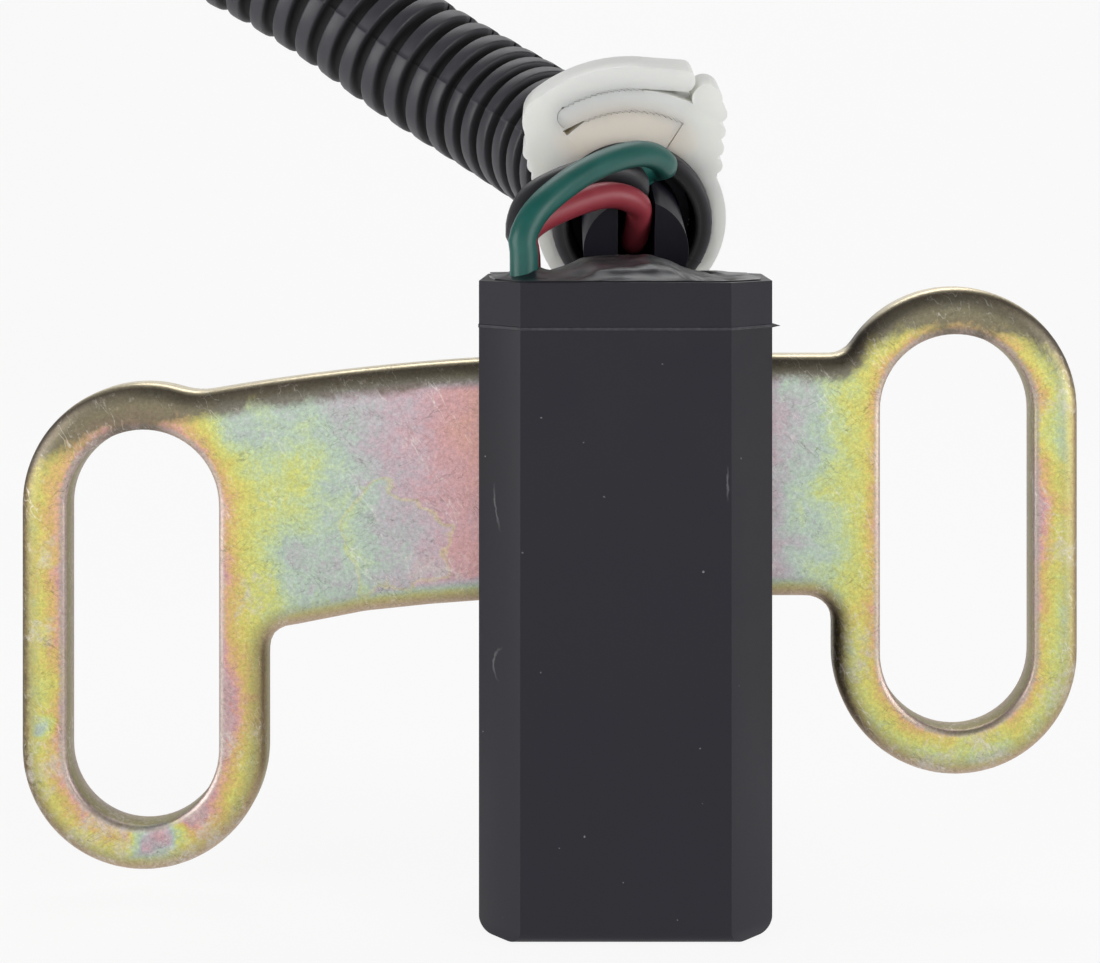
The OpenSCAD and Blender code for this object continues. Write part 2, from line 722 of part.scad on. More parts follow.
// A rectangle with round corners, for the plug's sections
module round_rect(w, h, r) {
    square([w - 2 * r, h], center = true);
    square([w, h - 2 * r], center = true);
    for (x = [-1, 1], z = [-1, 1]) translate([x * (w / 2 - r), z * (h / 2 - r)]) circle(r, $fn = 32);
}

// Extrudes a section of the plug along +Y from a given place
module along_plug(y, l) {
    translate([route_end[0], y + l, pin_z]) rotate([90, 0, 0]) linear_extrude(l) children();
}

module pin_holes(r, y, l) {
    for (x = pin_xs) translate([x, y, pin_z]) rotate([-90, 0, 0]) cylinder(r = r, h = l, $fn = 32);
}

module plug_shell() {
    latch_l = 8;
    latch_w = 7;
    latch_h = 2;
    rib_w = 0.8;
    color([0.16, 0.16, 0.18]) difference() {
        union() {
            along_plug(plug_y, plug_l) round_rect(plug_w, plug_h, plug_r);
            translate([route_end[0] - latch_w / 2, hood_y, plug_h]) rotate([90, 0, 90]) linear_extrude(latch_w)
                polygon([[0, -over], [0, latch_h], [latch_l * 0.3, latch_h], [latch_l, 0], [latch_l, -over]]);
            for (s = [-1, 1], i = [0 : 3]) translate([route_end[0] + s * plug_w / 2, plug_y + 3 + 3 * i, pin_z])
                cube([2 * rib_w, rib_w, plug_h - 3 * plug_r], center = true);
        }
        along_plug(hood_y, hood_depth + over) round_rect(hood_w, hood_h, plug_r - hood_wall / 2);
        pin_holes(seal_r, plug_y - over, seal_depth + over);
        pin_holes(pin_bore_r, plug_y, plug_l);
    }
}

module plug_cap() {
    color([0.3, 0.31, 0.33]) difference() {
        along_plug(plug_y - cap_t, cap_t) round_rect(plug_w - 2, plug_h - 2, plug_r - 1);
        pin_holes(wire_d / 2 + pass_gap, plug_y - cap_t - over, cap_t + 2 * over);
    }
}

// Ribbed rubber sleeves between the wires and their bores
module wire_seals() {
    ribs = 3;
    seal_l = seal_depth - 2;
    pitch = seal_l / ribs;
    color([0.35, 0.5, 0.45]) for (x = pin_xs) translate([x, plug_y, pin_z]) rotate([-90, 0, 0]) rotate_extrude()
        polygon(concat([[wire_d / 2, 0]], [for (i = [0 : ribs - 1], e = [0, 1, 2, 3])
            [seal_r - (e == 0 || e == 3 ? 0.4 : 0), pitch * (i + [0, 0.3, 0.7, 1][e])]], [[wire_d / 2, seal_l]]));
}

// A rubber ring round the terminal lock, against the floor of the hood
module plug_ring() {
    color([0.55, 0.25, 0.15]) along_plug(hood_y, lock_t) difference() {
        round_rect(hood_w, hood_h, plug_r - hood_wall / 2);
        square([lock_w, lock_h], center = true);
    }
}

module terminal_lock() {
    color([0.7, 0.35, 0.12]) difference() {
        along_plug(hood_y, lock_t) square([lock_w, lock_h], center = true);
        for (x = pin_xs) translate([x, hood_y + lock_t / 2, pin_z])
            cube([blade_size[0] + 2 * pass_gap, lock_t + over, blade_size[1] + 2 * pass_gap], center = true);
    }
}

// A crimped barrel in the shell with a flat blade that stands in the hood
module terminal(pin) {
    barrel_l = hood_y - wire_end_y;
    translate([pin_xs[pin], wire_end_y, pin_z]) {
        rotate([-90, 0, 0]) difference() {
            cylinder(r = pin_bore_r - pin_gap, h = barrel_l, $fn = 32);
            translate([0, 0, -over]) cylinder(d = core_d, h = crimp_l + over, $fn = 32);
        }
        linear_extrude(blade_size[1], center = true) polygon([[-blade_size[0] / 2, crimp_l + 0.5],
            [blade_size[0] / 2, crimp_l + 0.5], [blade_size[0] / 2, barrel_l + lock_t + blade_l - 1],
            [blade_size[0] / 4, barrel_l + lock_t + blade_l], [-blade_size[0] / 4, barrel_l + lock_t + blade_l],
            [-blade_size[0] / 2, barrel_l + lock_t + blade_l - 1]]);
    }
}

module green_terminal() {
    color([0.8, 0.78, 0.7]) terminal(2);
}

module red_terminal() {
    color([0.8, 0.78, 0.7]) terminal(0);
}

module black_terminal() {
    color([0.8, 0.78, 0.7]) terminal(1);
}

housing();
bracket();
potting();
chip_carrier();
hall_chip();
chip_leads();
pole_piece();
bias_magnet();
circuit_board();
bypass_capacitor();
output_capacitor();
pull_up_resistor();
solder_joints();
green_wire();
red_wire();
black_wire();
green_core();
red_core();
black_core();
loom();
hose_clamp();
plug_shell();
plug_cap();
wire_seals();
plug_ring();
terminal_lock();
green_terminal();
red_terminal();
black_terminal();
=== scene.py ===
# Crankshaft position sensor on a slotted steel bracket, with its harness.
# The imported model's frame is in metres. Lengths here are written in millimetres and scaled by MM.
import math

import bmesh
import bpy
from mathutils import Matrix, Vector, noise


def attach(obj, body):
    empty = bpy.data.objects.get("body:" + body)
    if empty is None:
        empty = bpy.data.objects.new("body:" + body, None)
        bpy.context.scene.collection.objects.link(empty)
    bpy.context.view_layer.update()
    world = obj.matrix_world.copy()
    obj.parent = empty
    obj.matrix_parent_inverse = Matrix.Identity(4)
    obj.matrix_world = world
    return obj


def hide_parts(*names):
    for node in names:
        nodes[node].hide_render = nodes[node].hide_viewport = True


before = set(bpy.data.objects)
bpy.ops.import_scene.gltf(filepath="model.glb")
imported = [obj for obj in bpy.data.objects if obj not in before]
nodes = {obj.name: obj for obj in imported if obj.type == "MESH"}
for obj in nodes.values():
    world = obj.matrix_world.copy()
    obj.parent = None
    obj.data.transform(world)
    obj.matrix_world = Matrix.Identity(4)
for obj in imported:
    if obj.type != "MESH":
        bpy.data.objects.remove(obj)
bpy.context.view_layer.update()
MM = 0.001


# Electronics: a Hall chip under a pole piece and a magnet in a plastic carrier, and a small board.
# They are sealed in the housing, so they keep their plain solids and get the finish of each material.
def linear(hexa):
    """sRGB hex such as "c8c364" to linear RGBA."""
    part = [int(hexa[i:i + 2], 16) / 255 for i in (0, 2, 4)]
    return [c / 12.92 if c <= 0.04045 else ((c + 0.055) / 1.055) ** 2.4 for c in part] + [1.0]


def bare(name):
    """A new material without nodes."""
    mat = bpy.data.materials.new(name)
    mat.use_nodes = True
    mat.node_tree.nodes.clear()
    return mat


def add(mat, kind, props=None, **sockets):
    """Adds a shader node to a material and sets its properties and its sockets, by name or as _number.
    A socket that is given an output is linked to it, and a node stands for its first output in use."""
    made = mat.node_tree.nodes.new("ShaderNode" + kind)
    for key, value in (props or {}).items():
        setattr(made, key, value)
    for key, value in sockets.items():
        socket = made.inputs[int(key[1:])] if key[0] == "_" else made.inputs[key.replace("_", " ")]
        if isinstance(value, bpy.types.Node):
            value = next(out for out in value.outputs if out.enabled)
        if isinstance(value, bpy.types.NodeSocket):
            mat.node_tree.links.new(value, socket)
        else:
            socket.default_value = value
    return made


def finish(name, colour, other, grain_mm, rough, bump=0.15, depth_mm=0.02, metallic=0.0, **more):
    """A material whose colour drifts between two tones over a grain of a given size, with matching bump."""
    mat = bare(name)
    here = add(mat, "TexCoord").outputs["Object"]
    grain = add(mat, "TexNoise", Vector=here, Scale=1 / (grain_mm * MM), Detail=5.0, Roughness=0.6)
    tone = add(mat, "Mix", {"data_type": "RGBA"}, _0=grain, _6=linear(colour), _7=linear(other))
    gloss = add(mat, "MapRange", Value=grain, From_Min=0.3, From_Max=0.7, To_Min=rough - 0.05,
                To_Max=rough + 0.05)
    relief = add(mat, "Bump", Height=grain, Strength=bump, Distance=depth_mm * MM)
    surface = add(mat, "BsdfPrincipled", Base_Color=tone, Roughness=gloss, Normal=relief, Metallic=metallic,
                  **more)
    add(mat, "OutputMaterial", Surface=surface)
    return mat


def paint(name, mat):
    """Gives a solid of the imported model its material."""
    data = nodes[name].data
    data.materials.clear()
    data.materials.append(mat)


def soften(name, width_mm):
    """Small moulded radii on a solid's sharp edges."""
    made = nodes[name]
    weld = made.modifiers.new("weld", "WELD")
    weld.merge_threshold = 0.002 * MM
    flat = made.modifiers.new("flat", "DECIMATE")
    flat.decimate_type = "DISSOLVE"
    flat.angle_limit = math.radians(0.5)
    edge = made.modifiers.new("edge", "BEVEL")
    edge.width = width_mm * MM
    edge.segments = 2
    edge.limit_method = "ANGLE"
    edge.angle_limit = math.radians(35)
    edge.harden_normals = True


paint("chip_carrier", finish("moulded_PBT_ivory", "d8d2bd", "cbc4ac", 1.5, 0.5))
paint("hall_chip", finish("chip_epoxy_black", "1f1f22", "27272a", 0.4, 0.6))
paint("chip_leads", finish("tinned_copper_leads", "c9c8c2", "b5b4ae", 0.6, 0.3, metallic=1.0))
paint("pole_piece", finish("soft_iron_turned", "8f8f94", "7d7d82", 0.5, 0.35, metallic=1.0))
paint("bias_magnet", finish("nickel_plated_magnet", "a8a6a2", "96948f", 0.8, 0.25, metallic=1.0))
paint("circuit_board", finish("glass_laminate_green_mask", "1d5a36", "22663d", 1.2, 0.35))
for part in ("bypass_capacitor", "output_capacitor"):
    paint(part, finish("fired_ceramic_tan_" + part, "a88c6b", "b39775", 0.3, 0.45))
paint("pull_up_resistor", finish("glazed_resistor_ceramic", "26262a", "2e2e33", 0.3, 0.25))
paint("solder_joints", finish("tin_solder", "c3c3c8", "aeaeb4", 0.5, 0.22, metallic=1.0))
for colour in ("green", "red", "black"):
    paint(colour + "_core", finish("bare_copper_" + colour, "c98a5e", "b8764b", 0.3, 0.3, metallic=1.0))


# Bracket: 3 mm sheet steel, blanked and pierced, then zinc plated with a yellow passivate.
# The press rolls the front edges over and leaves a sharp sheared edge at the back.
def arc(cx, cz, r, start, end, steps):
    """Points round a centre from one angle in degrees to another."""
    turn = [math.radians(start + (end - start) * i / steps) for i in range(steps + 1)]
    return [Vector((cx + r * math.cos(a), cz + r * math.sin(a))) for a in turn]


def length(points):
    """How long the line through some points is."""
    return sum((b - a).length for a, b in zip(points, points[1:]))


def spread(points, count):
    """The line through some points, parted into a number of even steps."""
    far = [0.0]
    for a, b in zip(points, points[1:]):
        far.append(far[-1] + (b - a).length)
    made, at = [], 0
    for i in range(count + 1):
        want = far[-1] * i / count
        while at < len(far) - 2 and far[at + 1] < want:
            at += 1
        share = (want - far[at]) / max(far[at + 1] - far[at], 1e-9)
        made.append(points[at].lerp(points[at + 1], share))
    return made


def even(loop, gap):
    """The same closed outline with points at even spacing, so that its inset rings stay regular."""
    ring = loop + [loop[0]]
    return spread(ring, int(length(ring) / gap))[:-1]


def inset(loop, by):
    """An outline moved to its left by a distance."""
    made = []
    for i, p in enumerate(loop):
        along = (loop[(i + 1) % len(loop)] - loop[i - 1]).normalized()
        made.append(p + Vector((-along.y, along.x)) * by)
    return made


def put(name, form, mat, smooth=True):
    """Turns a finished bmesh into an object of the scene, with its faces outwards."""
    bmesh.ops.recalc_face_normals(form, faces=form.faces)
    for face in form.faces:
        face.smooth = smooth
    data = bpy.data.meshes.new(name)
    form.to_mesh(data)
    form.free()
    data.materials.append(mat)
    made = bpy.data.objects.new(name, data)
    bpy.context.collection.objects.link(made)
    return made


plate_front, plate_t = 2.0, 3.0
slot_r, slot_run, rim = 7.0, 11.2, 4.3
ear_r = slot_r + rim
left_x, left_z, right_x, right_z = -44.4, 24.4, 30.5, 33.2
arm_low, arm_high, sweep_r, fillet, dip_r = 27.2, 49.5, 225.0, 2.5, 6.0
outline_gap = 0.6
sweep_z = arm_high - sweep_r
low_r = sweep_r - arm_high + arm_low
corner_x = left_x + ear_r
corner_z = sweep_z + math.sqrt(low_r ** 2 - corner_x ** 2)
run = math.sqrt((ear_r + fillet) ** 2 - (arm_high + fillet - right_z - slot_run) ** 2)
shoulder = math.degrees(math.atan2(arm_high + fillet - right_z - slot_run, -run))
# The left arm's upper edge runs into the ear's round end through a shallow dip
hub, ear = Vector((0, sweep_z)), Vector((left_x, left_z + slot_run))
span = (ear - hub).length
to_ear = (ear - hub) / span
along = ((sweep_r + dip_r) ** 2 - (ear_r + dip_r) ** 2 + span ** 2) / (2 * span)
beside = math.sqrt((sweep_r + dip_r) ** 2 - along ** 2)
dip = hub + along * to_ear + beside * Vector((to_ear.y, -to_ear.x))
arm_touch = math.degrees(math.atan2(dip.y - hub.y, dip.x - hub.x))
ear_touch = math.degrees(math.atan2(dip.y - ear.y, dip.x - ear.x))
outline = arc(left_x, left_z - slot_run, ear_r, -180, 0, 40)
outline += arc(corner_x + fillet, corner_z - fillet, fillet, 180, 90, 10)
outline += [Vector((x, sweep_z + math.sqrt(low_r ** 2 - x * x))) for x in range(-24, 1, 6)]
outline += arc(right_x - ear_r - fillet, arm_low - fillet, fillet, 90, 0, 10)
outline += arc(right_x, right_z - slot_run, ear_r, -180, 0, 40)
outline += arc(right_x, right_z + slot_run, ear_r, 0, shoulder, 30)
outline += arc(right_x - run, arm_high + fillet, fillet, shoulder - 180, -90, 8)
outline += arc(0, sweep_z, sweep_r, 90, arm_touch, 16)
outline += arc(dip.x, dip.y, dip_r, arm_touch - 180, ear_touch - 180, 8)
outline += arc(left_x, left_z + slot_run, ear_r, ear_touch, 180, 30)
loops = [even(outline, outline_gap)]
for x, z in ((left_x, left_z), (right_x, right_z)):
    slot = arc(x, z + slot_run, slot_r, 180, 0, 36) + arc(x, z - slot_run, slot_r, 0, -180, 36)
    loops.append(even(slot, outline_gap))

# Each edge from the flat front over the rolled edge and the sheared wall to the back: inset, depth.
# Blanking draws the outer edge down over 2 mm, piercing draws the slots' edges down over less than 1 mm. The
# first and last rings lie in the flat faces and mark how far the edge's own colours reach in.
reach_in, lip_in = 3.3, 0.85
blanked = ((reach_in, 0.0), (2.6, 0.0), (2.0, 0.02), (1.5, 0.06), (1.05, 0.15), (0.66, 0.3), (0.34, 0.52),
           (0.12, 0.82), (0.03, 1.1), (0.0, 1.4), (0.0, 2.82), (0.15, plate_t), (reach_in, plate_t))
pierced = ((lip_in, 0.0), (0.52, 0.03), (0.3, 0.1), (0.13, 0.22), (0.03, 0.4), (0.0, 0.6), (0.0, 2.85),
           (0.12, plate_t), (lip_in, plate_t))
plate = bmesh.new()
rolled_layer = plate.verts.layers.float.new("rolled")
crown_layer = plate.verts.layers.float.new("crown")
lip_layer = plate.verts.layers.float.new("lip")
front_edges, back_edges = [], []
for loop, edge_rings in zip(loops, (blanked, pierced, pierced)):
    rings = []
    for step, deep in edge_rings:
        ring = []
        near = 1.0 - step / edge_rings[0][0]
        for i, p in enumerate(inset(loop, step)):
            vert = plate.verts.new(Vector((p.x, plate_front + deep, p.y)) * MM)
            if edge_rings is blanked:
                # How far the edge here faces up
                up = (loop[i - 1] - loop[(i + 1) % len(loop)]).normalized().x
                vert[rolled_layer] = near
                vert[crown_layer] = near * max(0.0, up)
            else:
                vert[lip_layer] = near
            ring.append(vert)
        rings.append(ring)
    for a, b in zip(rings, rings[1:]):
        for i in range(len(loop)):
            j = (i + 1) % len(loop)
            plate.faces.new((a[i], a[j], b[j], b[i]))
    front_edges += [plate.edges.get((rings[0][i - 1], rings[0][i])) for i in range(len(loop))]
    back_edges += [plate.edges.get((rings[-1][i - 1], rings[-1][i])) for i in range(len(loop))]
for edges in (front_edges, back_edges):
    bmesh.ops.triangle_fill(plate, use_beauty=True, use_dissolve=False, edges=edges)

# Yellow-passivated zinc: a film of changing thickness on bright metal. It dried inwards from the slots and
# edges, so the colour runs from rose and orange at a rim through straw yellow, green and lilac to pink along
# the arm, about 29 mm for the whole run on the left and 19 mm on the right, in ragged clouds.
zinc = bare("yellow_passivated_zinc_on_steel")
here = add(zinc, "TexCoord").outputs["Object"]
rolled, crown, lip = (add(zinc, "Attribute", {"attribute_name": layer}).outputs["Fac"]
                      for layer in ("rolled", "crown", "lip"))
# The film's edge wanders by 2 mm or so, and at most by half of wander_mm
wander_mm = 9.0
drift = add(zinc, "TexNoise", Vector=here, Scale=1 / (7 * MM), Detail=4.0, Roughness=0.55)
drift = add(zinc, "VectorMath", {"operation": "MULTIPLY_ADD"}, _0=drift.outputs["Color"],
            _1=[wander_mm * MM] * 3, _2=[-wander_mm / 2 * MM] * 3)
wet = add(zinc, "VectorMath", {"operation": "ADD"}, _0=here, _1=drift)
wet = add(zinc, "VectorMath", {"operation": "MULTIPLY"}, _0=wet, _1=(1, 0, 1))


def spot(x, z, outer, inner, most):
    """A soft mark round a place on the plate, from nothing at the outer radius to most at the inner one."""
    gap = add(zinc, "VectorMath", {"operation": "DISTANCE"}, _0=wet, _1=(x * MM, 0, z * MM))
    return add(zinc, "MapRange", {"interpolation_type": "SMOOTHSTEP"}, Value=gap, From_Min=outer * MM,
               From_Max=inner * MM, To_Max=most)


def fill(ramp, stops):
    """Sets a colour ramp's places and colours."""
    for end, (at, colour) in ((ramp.elements[0], stops[0]), (ramp.elements[1], stops[-1])):
        end.position, end.color = at, colour
    for at, colour in stops[1:-1]:
        ramp.elements.new(at).color = colour


# From each slot's rim the film thickens fast over 2 or 3 mm in a regular band, then slowly and raggedly along
# the arm: the slot, the pattern, the thickness at the rim and what each mm adds. Depth into the plate, which
# is far under 1 m, doesn't count.
film = None
for x, z, source, thin, per_mm in ((left_x, left_z, here, 0.02, 0.085), (left_x, left_z, wet, 0.2, 0.028),
                                   (right_x, right_z, here, 0.06, 0.11), (right_x, right_z, wet, 0.2, 0.043)):
    away = add(zinc, "VectorMath", {"operation": "SUBTRACT"}, _0=source, _1=(x * MM, 0, z * MM))
    away = add(zinc, "VectorMath", {"operation": "ABSOLUTE"}, _0=away)
    away = add(zinc, "VectorMath", {"operation": "SUBTRACT"}, _0=away, _1=(0, 1, slot_run * MM))
    away = add(zinc, "VectorMath", {"operation": "MAXIMUM"}, _0=away, _1=(0, 0, 0))
    away = add(zinc, "VectorMath", {"operation": "LENGTH"}, _0=away)
    thick = add(zinc, "Math", {"operation": "MULTIPLY_ADD"}, _0=away, _1=per_mm / MM,
                _2=thin - slot_r * per_mm)
    film = thick if film is None else add(zinc, "Math", {"operation": "MINIMUM"}, _0=film, _1=thick)
# Clouds and grain add these shares of the run, and their mean is taken off again below
cloud_share, grain_share = 0.34, 0.22
both_mean = (cloud_share + grain_share) / 2
cloud = add(zinc, "TexNoise", Vector=here, Scale=1 / (3 * MM), Detail=6.0, Roughness=0.62, Distortion=0.6)
grain = add(zinc, "TexNoise", Vector=here, Scale=1 / (0.5 * MM), Detail=3.0, Roughness=0.7)
film = add(zinc, "Math", {"operation": "MULTIPLY_ADD"}, _0=cloud, _1=cloud_share, _2=film)
film = add(zinc, "Math", {"operation": "MULTIPLY_ADD"}, _0=grain, _1=grain_share, _2=film)
# Drops that dried on the face: place, radius, and how much thicker the film is there
for x, z, size, more in ((-43.9, 4.7, 4.0, 0.7), (-53.0, 18.7, 3.5, 0.12), (-53.3, 14.4, 2.0, 0.34),
                         (-36.1, 17.8, 7.0, -0.16), (-38.6, 6.8, 5.0, -0.14), (-34.4, 43.1, 5.0, 0.14),
                         (-30.3, 39.9, 4.0, -0.08), (-15.6, 41.7, 6.0, 0.1), (-29.9, 30.7, 5.0, 0.12),
                         (39.5, 42.5, 4.0, 0.14), (38.9, 34.4, 7.0, -0.14), (33.1, 13.7, 4.0, 0.12)):
    film = add(zinc, "Math", {"operation": "ADD"}, _0=film, _1=spot(x, z, size, 0.0, more))
# One larger drop by the housing dried to a squarish tide mark: its middle, half its width and half its height
tide_x, tide_z, tide_w, tide_h = -21.4, 32.0, 5.0, 4.6
tide = add(zinc, "VectorMath", {"operation": "MULTIPLY_ADD"}, _0=wet,
           _1=(1 / (tide_w * MM), 0, 1 / (tide_h * MM)), _2=(-tide_x / tide_w, 0, -tide_z / tide_h))
tide = add(zinc, "VectorMath", {"operation": "MULTIPLY"}, _0=tide, _1=tide)
tide = add(zinc, "VectorMath", {"operation": "LENGTH"}, _0=tide)
pool = add(zinc, "MapRange", Value=tide, From_Min=1.0, From_Max=0.8, To_Max=-0.08)
film = add(zinc, "Math", {"operation": "ADD"}, _0=film, _1=pool)
mark = add(zinc, "ValToRGB", Fac=tide)
fill(mark.color_ramp, ((0.78, (0, 0, 0, 1)), (0.9, (0.45, 0.45, 0.45, 1)), (1.0, (0, 0, 0, 1))))
# The film is thinner again close to the outer edges
film = add(zinc, "Math", {"operation": "SUBTRACT"}, _0=film, _1=both_mean)
inner = add(zinc, "Math", {"operation": "SUBTRACT"}, _0=1.0, _1=rolled)
inner = add(zinc, "Math", {"operation": "POWER"}, _0=inner, _1=1.5)
inner = add(zinc, "Math", {"operation": "MULTIPLY_ADD"}, _0=cloud, _1=0.3, _2=inner)
film = add(zinc, "Math", {"operation": "MINIMUM"}, _0=film, _1=inner)
film = add(zinc, "MapRange", Value=film, To_Min=0.03)
tints = add(zinc, "ValToRGB", Fac=film)
fill(tints.color_ramp, [(at, linear(hexa)) for at, hexa in (
    (0.0, "bcb3b2"), (0.05, "cd9c9f"), (0.1, "dbad94"), (0.16, "d7b676"), (0.25, "d6cd73"), (0.34, "cdd180"),
    (0.43, "bfcfa2"), (0.51, "b4c5b6"), (0.6, "b8b5b8"), (0.7, "c2abb2"), (0.8, "c8a1a4"), (0.9, "cb9f9d"),
    (1.0, "cfa296"))])
tint = add(zinc, "Mix", {"data_type": "RGBA"}, _0=mark, _6=tints, _7=linear("cfc77c"))
# Rolled outer edges: browner film plus painted shade that dims their highlights; slots' lips rubbed pale;
# walls olive
brown_edge_shade = add(zinc, "MapRange", Value=rolled, From_Min=0.38, From_Max=0.9, To_Max=0.85)
tint = add(zinc, "Mix", {"data_type": "RGBA"}, _0=brown_edge_shade, _6=tint, _7=linear("94826b"))
pale = add(zinc, "Math", {"operation": "MULTIPLY_ADD"}, _0=grain, _1=1.2, _2=lip)
pale = add(zinc, "MapRange", Value=pale, From_Min=0.75, From_Max=1.1, To_Max=0.75)
tint = add(zinc, "Mix", {"data_type": "RGBA"}, _0=pale, _6=tint, _7=linear("b7aea6"))
facing = add(zinc, "NewGeometry").outputs["Normal"]
facing = add(zinc, "SeparateXYZ", Vector=facing).outputs
# The rolled edges that face up carry the painted highlight along the top
top_edge_highlight = add(zinc, "MapRange", Value=facing["Z"], From_Min=0.6, From_Max=0.85)
top_edge_highlight = add(zinc, "Math", {"operation": "MULTIPLY"}, _0=top_edge_highlight, _1=rolled)
off_top_highlight = add(zinc, "Math", {"operation": "SUBTRACT"}, _0=1.0, _1=top_edge_highlight)
wall = add(zinc, "Math", {"operation": "ABSOLUTE"}, _0=facing["Y"])
wall = add(zinc, "MapRange", Value=wall, From_Min=0.4, From_Max=0.1, To_Max=0.85)
wall = add(zinc, "Math", {"operation": "MULTIPLY"}, _0=wall, _1=off_top_highlight)
tint = add(zinc, "Mix", {"data_type": "RGBA"}, _0=wall, _6=tint, _7=linear("8f8759"))
# Left-facing rolled edges are painted dark brown: partly brown staining, mostly painted shade
left_edge_shade = add(zinc, "MapRange", Value=facing["X"], From_Min=-0.05, From_Max=-0.5, To_Max=1.7)
left_edge_shade = add(zinc, "Math", {"operation": "MULTIPLY"}, _0=left_edge_shade, _1=rolled)
left_edge_shade = add(zinc, "Math", {"operation": "MULTIPLY", "use_clamp": True}, _0=left_edge_shade, _1=grain)
tint = add(zinc, "Mix", {"data_type": "RGBA"}, _0=left_edge_shade, _6=tint, _7=linear("5c513c"))
# Painted reflection: downward-facing rolled edges are painted pale pinkish brown, as lit by the white floor
floor_reflection = add(zinc, "MapRange", Value=facing["Z"], From_Min=-0.1, From_Max=-0.7, To_Max=0.75)
floor_reflection = add(zinc, "Math", {"operation": "MULTIPLY"}, _0=floor_reflection, _1=rolled)
tint = add(zinc, "Mix", {"data_type": "RGBA"}, _0=floor_reflection, _6=tint, _7=linear("d3bca8"))
# Painted shade: the upward-facing edges are painted grey-brown, most of all round the top of each ear, and
# the topmost line is left out of it for a painted highlight
uneven = add(zinc, "MapRange", Value=cloud, From_Min=0.25, From_Max=0.7, To_Min=0.05, To_Max=1.5)
uneven = add(zinc, "Math", {"operation": "MULTIPLY_ADD"}, _0=grain, _1=1.4, _2=uneven)
upper_edge_shade = crown
for x, z, size in ((left_x - 3.0, left_z + slot_run + ear_r, 10.5),
                   (right_x + 1.5, right_z + slot_run + ear_r, 10.0)):
    upper_edge_shade = add(zinc, "Math", {"operation": "ADD"}, _0=upper_edge_shade, _1=spot(x, z, size, 0.3 * size, 0.38))
upper_edge_shade = add(zinc, "Math", {"operation": "MULTIPLY"}, _0=upper_edge_shade, _1=uneven)
upper_edge_shade = add(zinc, "MapRange", {"interpolation_type": "SMOOTHSTEP"}, Value=upper_edge_shade, From_Min=0.12, From_Max=0.75,
            To_Max=0.9)
upper_edge_shade = add(zinc, "Math", {"operation": "MULTIPLY"}, _0=upper_edge_shade, _1=off_top_highlight)
tint = add(zinc, "Mix", {"data_type": "RGBA"}, _0=upper_edge_shade, _6=tint, _7=linear("70685e"))
# Painted highlight: the topmost line of the rolled edges is painted bright cream
top_edge_highlight = add(zinc, "Math", {"operation": "MULTIPLY"}, _0=top_edge_highlight, _1=0.75)
tint = add(zinc, "Mix", {"data_type": "RGBA"}, _0=top_edge_highlight, _6=tint, _7=linear("ece2c4"))
# Rubbed places where more of the film has flaked to grey zinc: place and radius
flake = add(zinc, "TexNoise", Vector=here, Scale=1 / (0.9 * MM), Detail=6.0, Roughness=0.72, Distortion=0.4)
worn = None
for x, z, size in ((-35.4, 13.7, 3.4), (-37.4, 5.4, 4.4), (-48.6, 5.2, 5.0), (-53.2, 23.3, 2.4),
                   (-34.5, 27.0, 2.6), (-18.0, 30.0, 4.0), (21.2, 22.5, 4.0), (28.0, 11.4, 5.0),
                   (40.4, 19.5, 5.5), (39.8, 31.5, 4.5), (34.5, 11.6, 4.0), (-52.3, 10.8, 4.0),
                   (-40.5, 2.4, 3.5), (40.2, 44.5, 3.5), (-53.6, 31.5, 2.6)):
    rub = spot(x, z, size, 0.0, 0.2)
    worn = rub if worn is None else add(zinc, "Math", {"operation": "ADD"}, _0=worn, _1=rub)
flake = add(zinc, "Math", {"operation": "ADD"}, _0=flake, _1=worn)
flake = add(zinc, "MapRange", Value=flake, From_Min=0.6, From_Max=0.84, To_Max=0.75)
tint = add(zinc, "Mix", {"data_type": "RGBA"}, _0=flake, _6=tint, _7=linear("d0c9c1"))
# Hair scratches under 0.1 mm wide and about 1 mm long: dark ones that hold dirt, then pale fresh ones, each
# lot in its own direction and only here and there
for hair_mm, gaps_mm, turn, most, hexa in ((0.5, 2.0, 35, 0.5, "5f5746"), (0.45, 1.6, -28, 0.42, "544d3d"),
                                           (0.6, 2.4, 58, 0.55, "e9e4dc")):
    at = add(zinc, "Mapping", {"vector_type": "TEXTURE"}, Vector=here, Rotation=(0, math.radians(turn), 0),
             Scale=(3, 1, 1))
    hair = add(zinc, "TexNoise", Vector=at, Scale=1 / (hair_mm * MM), Detail=1.0)
    hair = add(zinc, "Math", {"operation": "SUBTRACT"}, _0=hair, _1=0.5)
    hair = add(zinc, "Math", {"operation": "ABSOLUTE"}, _0=hair)
    hair = add(zinc, "MapRange", Value=hair, From_Min=0.035, From_Max=0.01, To_Max=most)
    there = add(zinc, "TexNoise", Vector=at, Scale=1 / (gaps_mm * MM), Detail=6.0, Roughness=0.8)
    there = add(zinc, "MapRange", Value=there, From_Min=0.5, From_Max=0.64)
    hair = add(zinc, "Math", {"operation": "MULTIPLY"}, _0=hair, _1=there)
    tint = add(zinc, "Mix", {"data_type": "RGBA"}, _0=hair, _6=tint, _7=linear(hexa))
# The rolled sheet's own grain, 0.3 mm, shows through as lighter and darker specks
sheet = add(zinc, "TexNoise", Vector=here, Scale=1 / (0.3 * MM), Detail=4.0, Roughness=0.8)
sheet = add(zinc, "MapRange", Value=sheet, From_Min=0.3, From_Max=0.7, To_Min=0.76, To_Max=1.18)
tint = add(zinc, "Mix", {"data_type": "RGBA", "blend_type": "MULTIPLY"}, _0=1.0, _6=tint, _7=sheet)
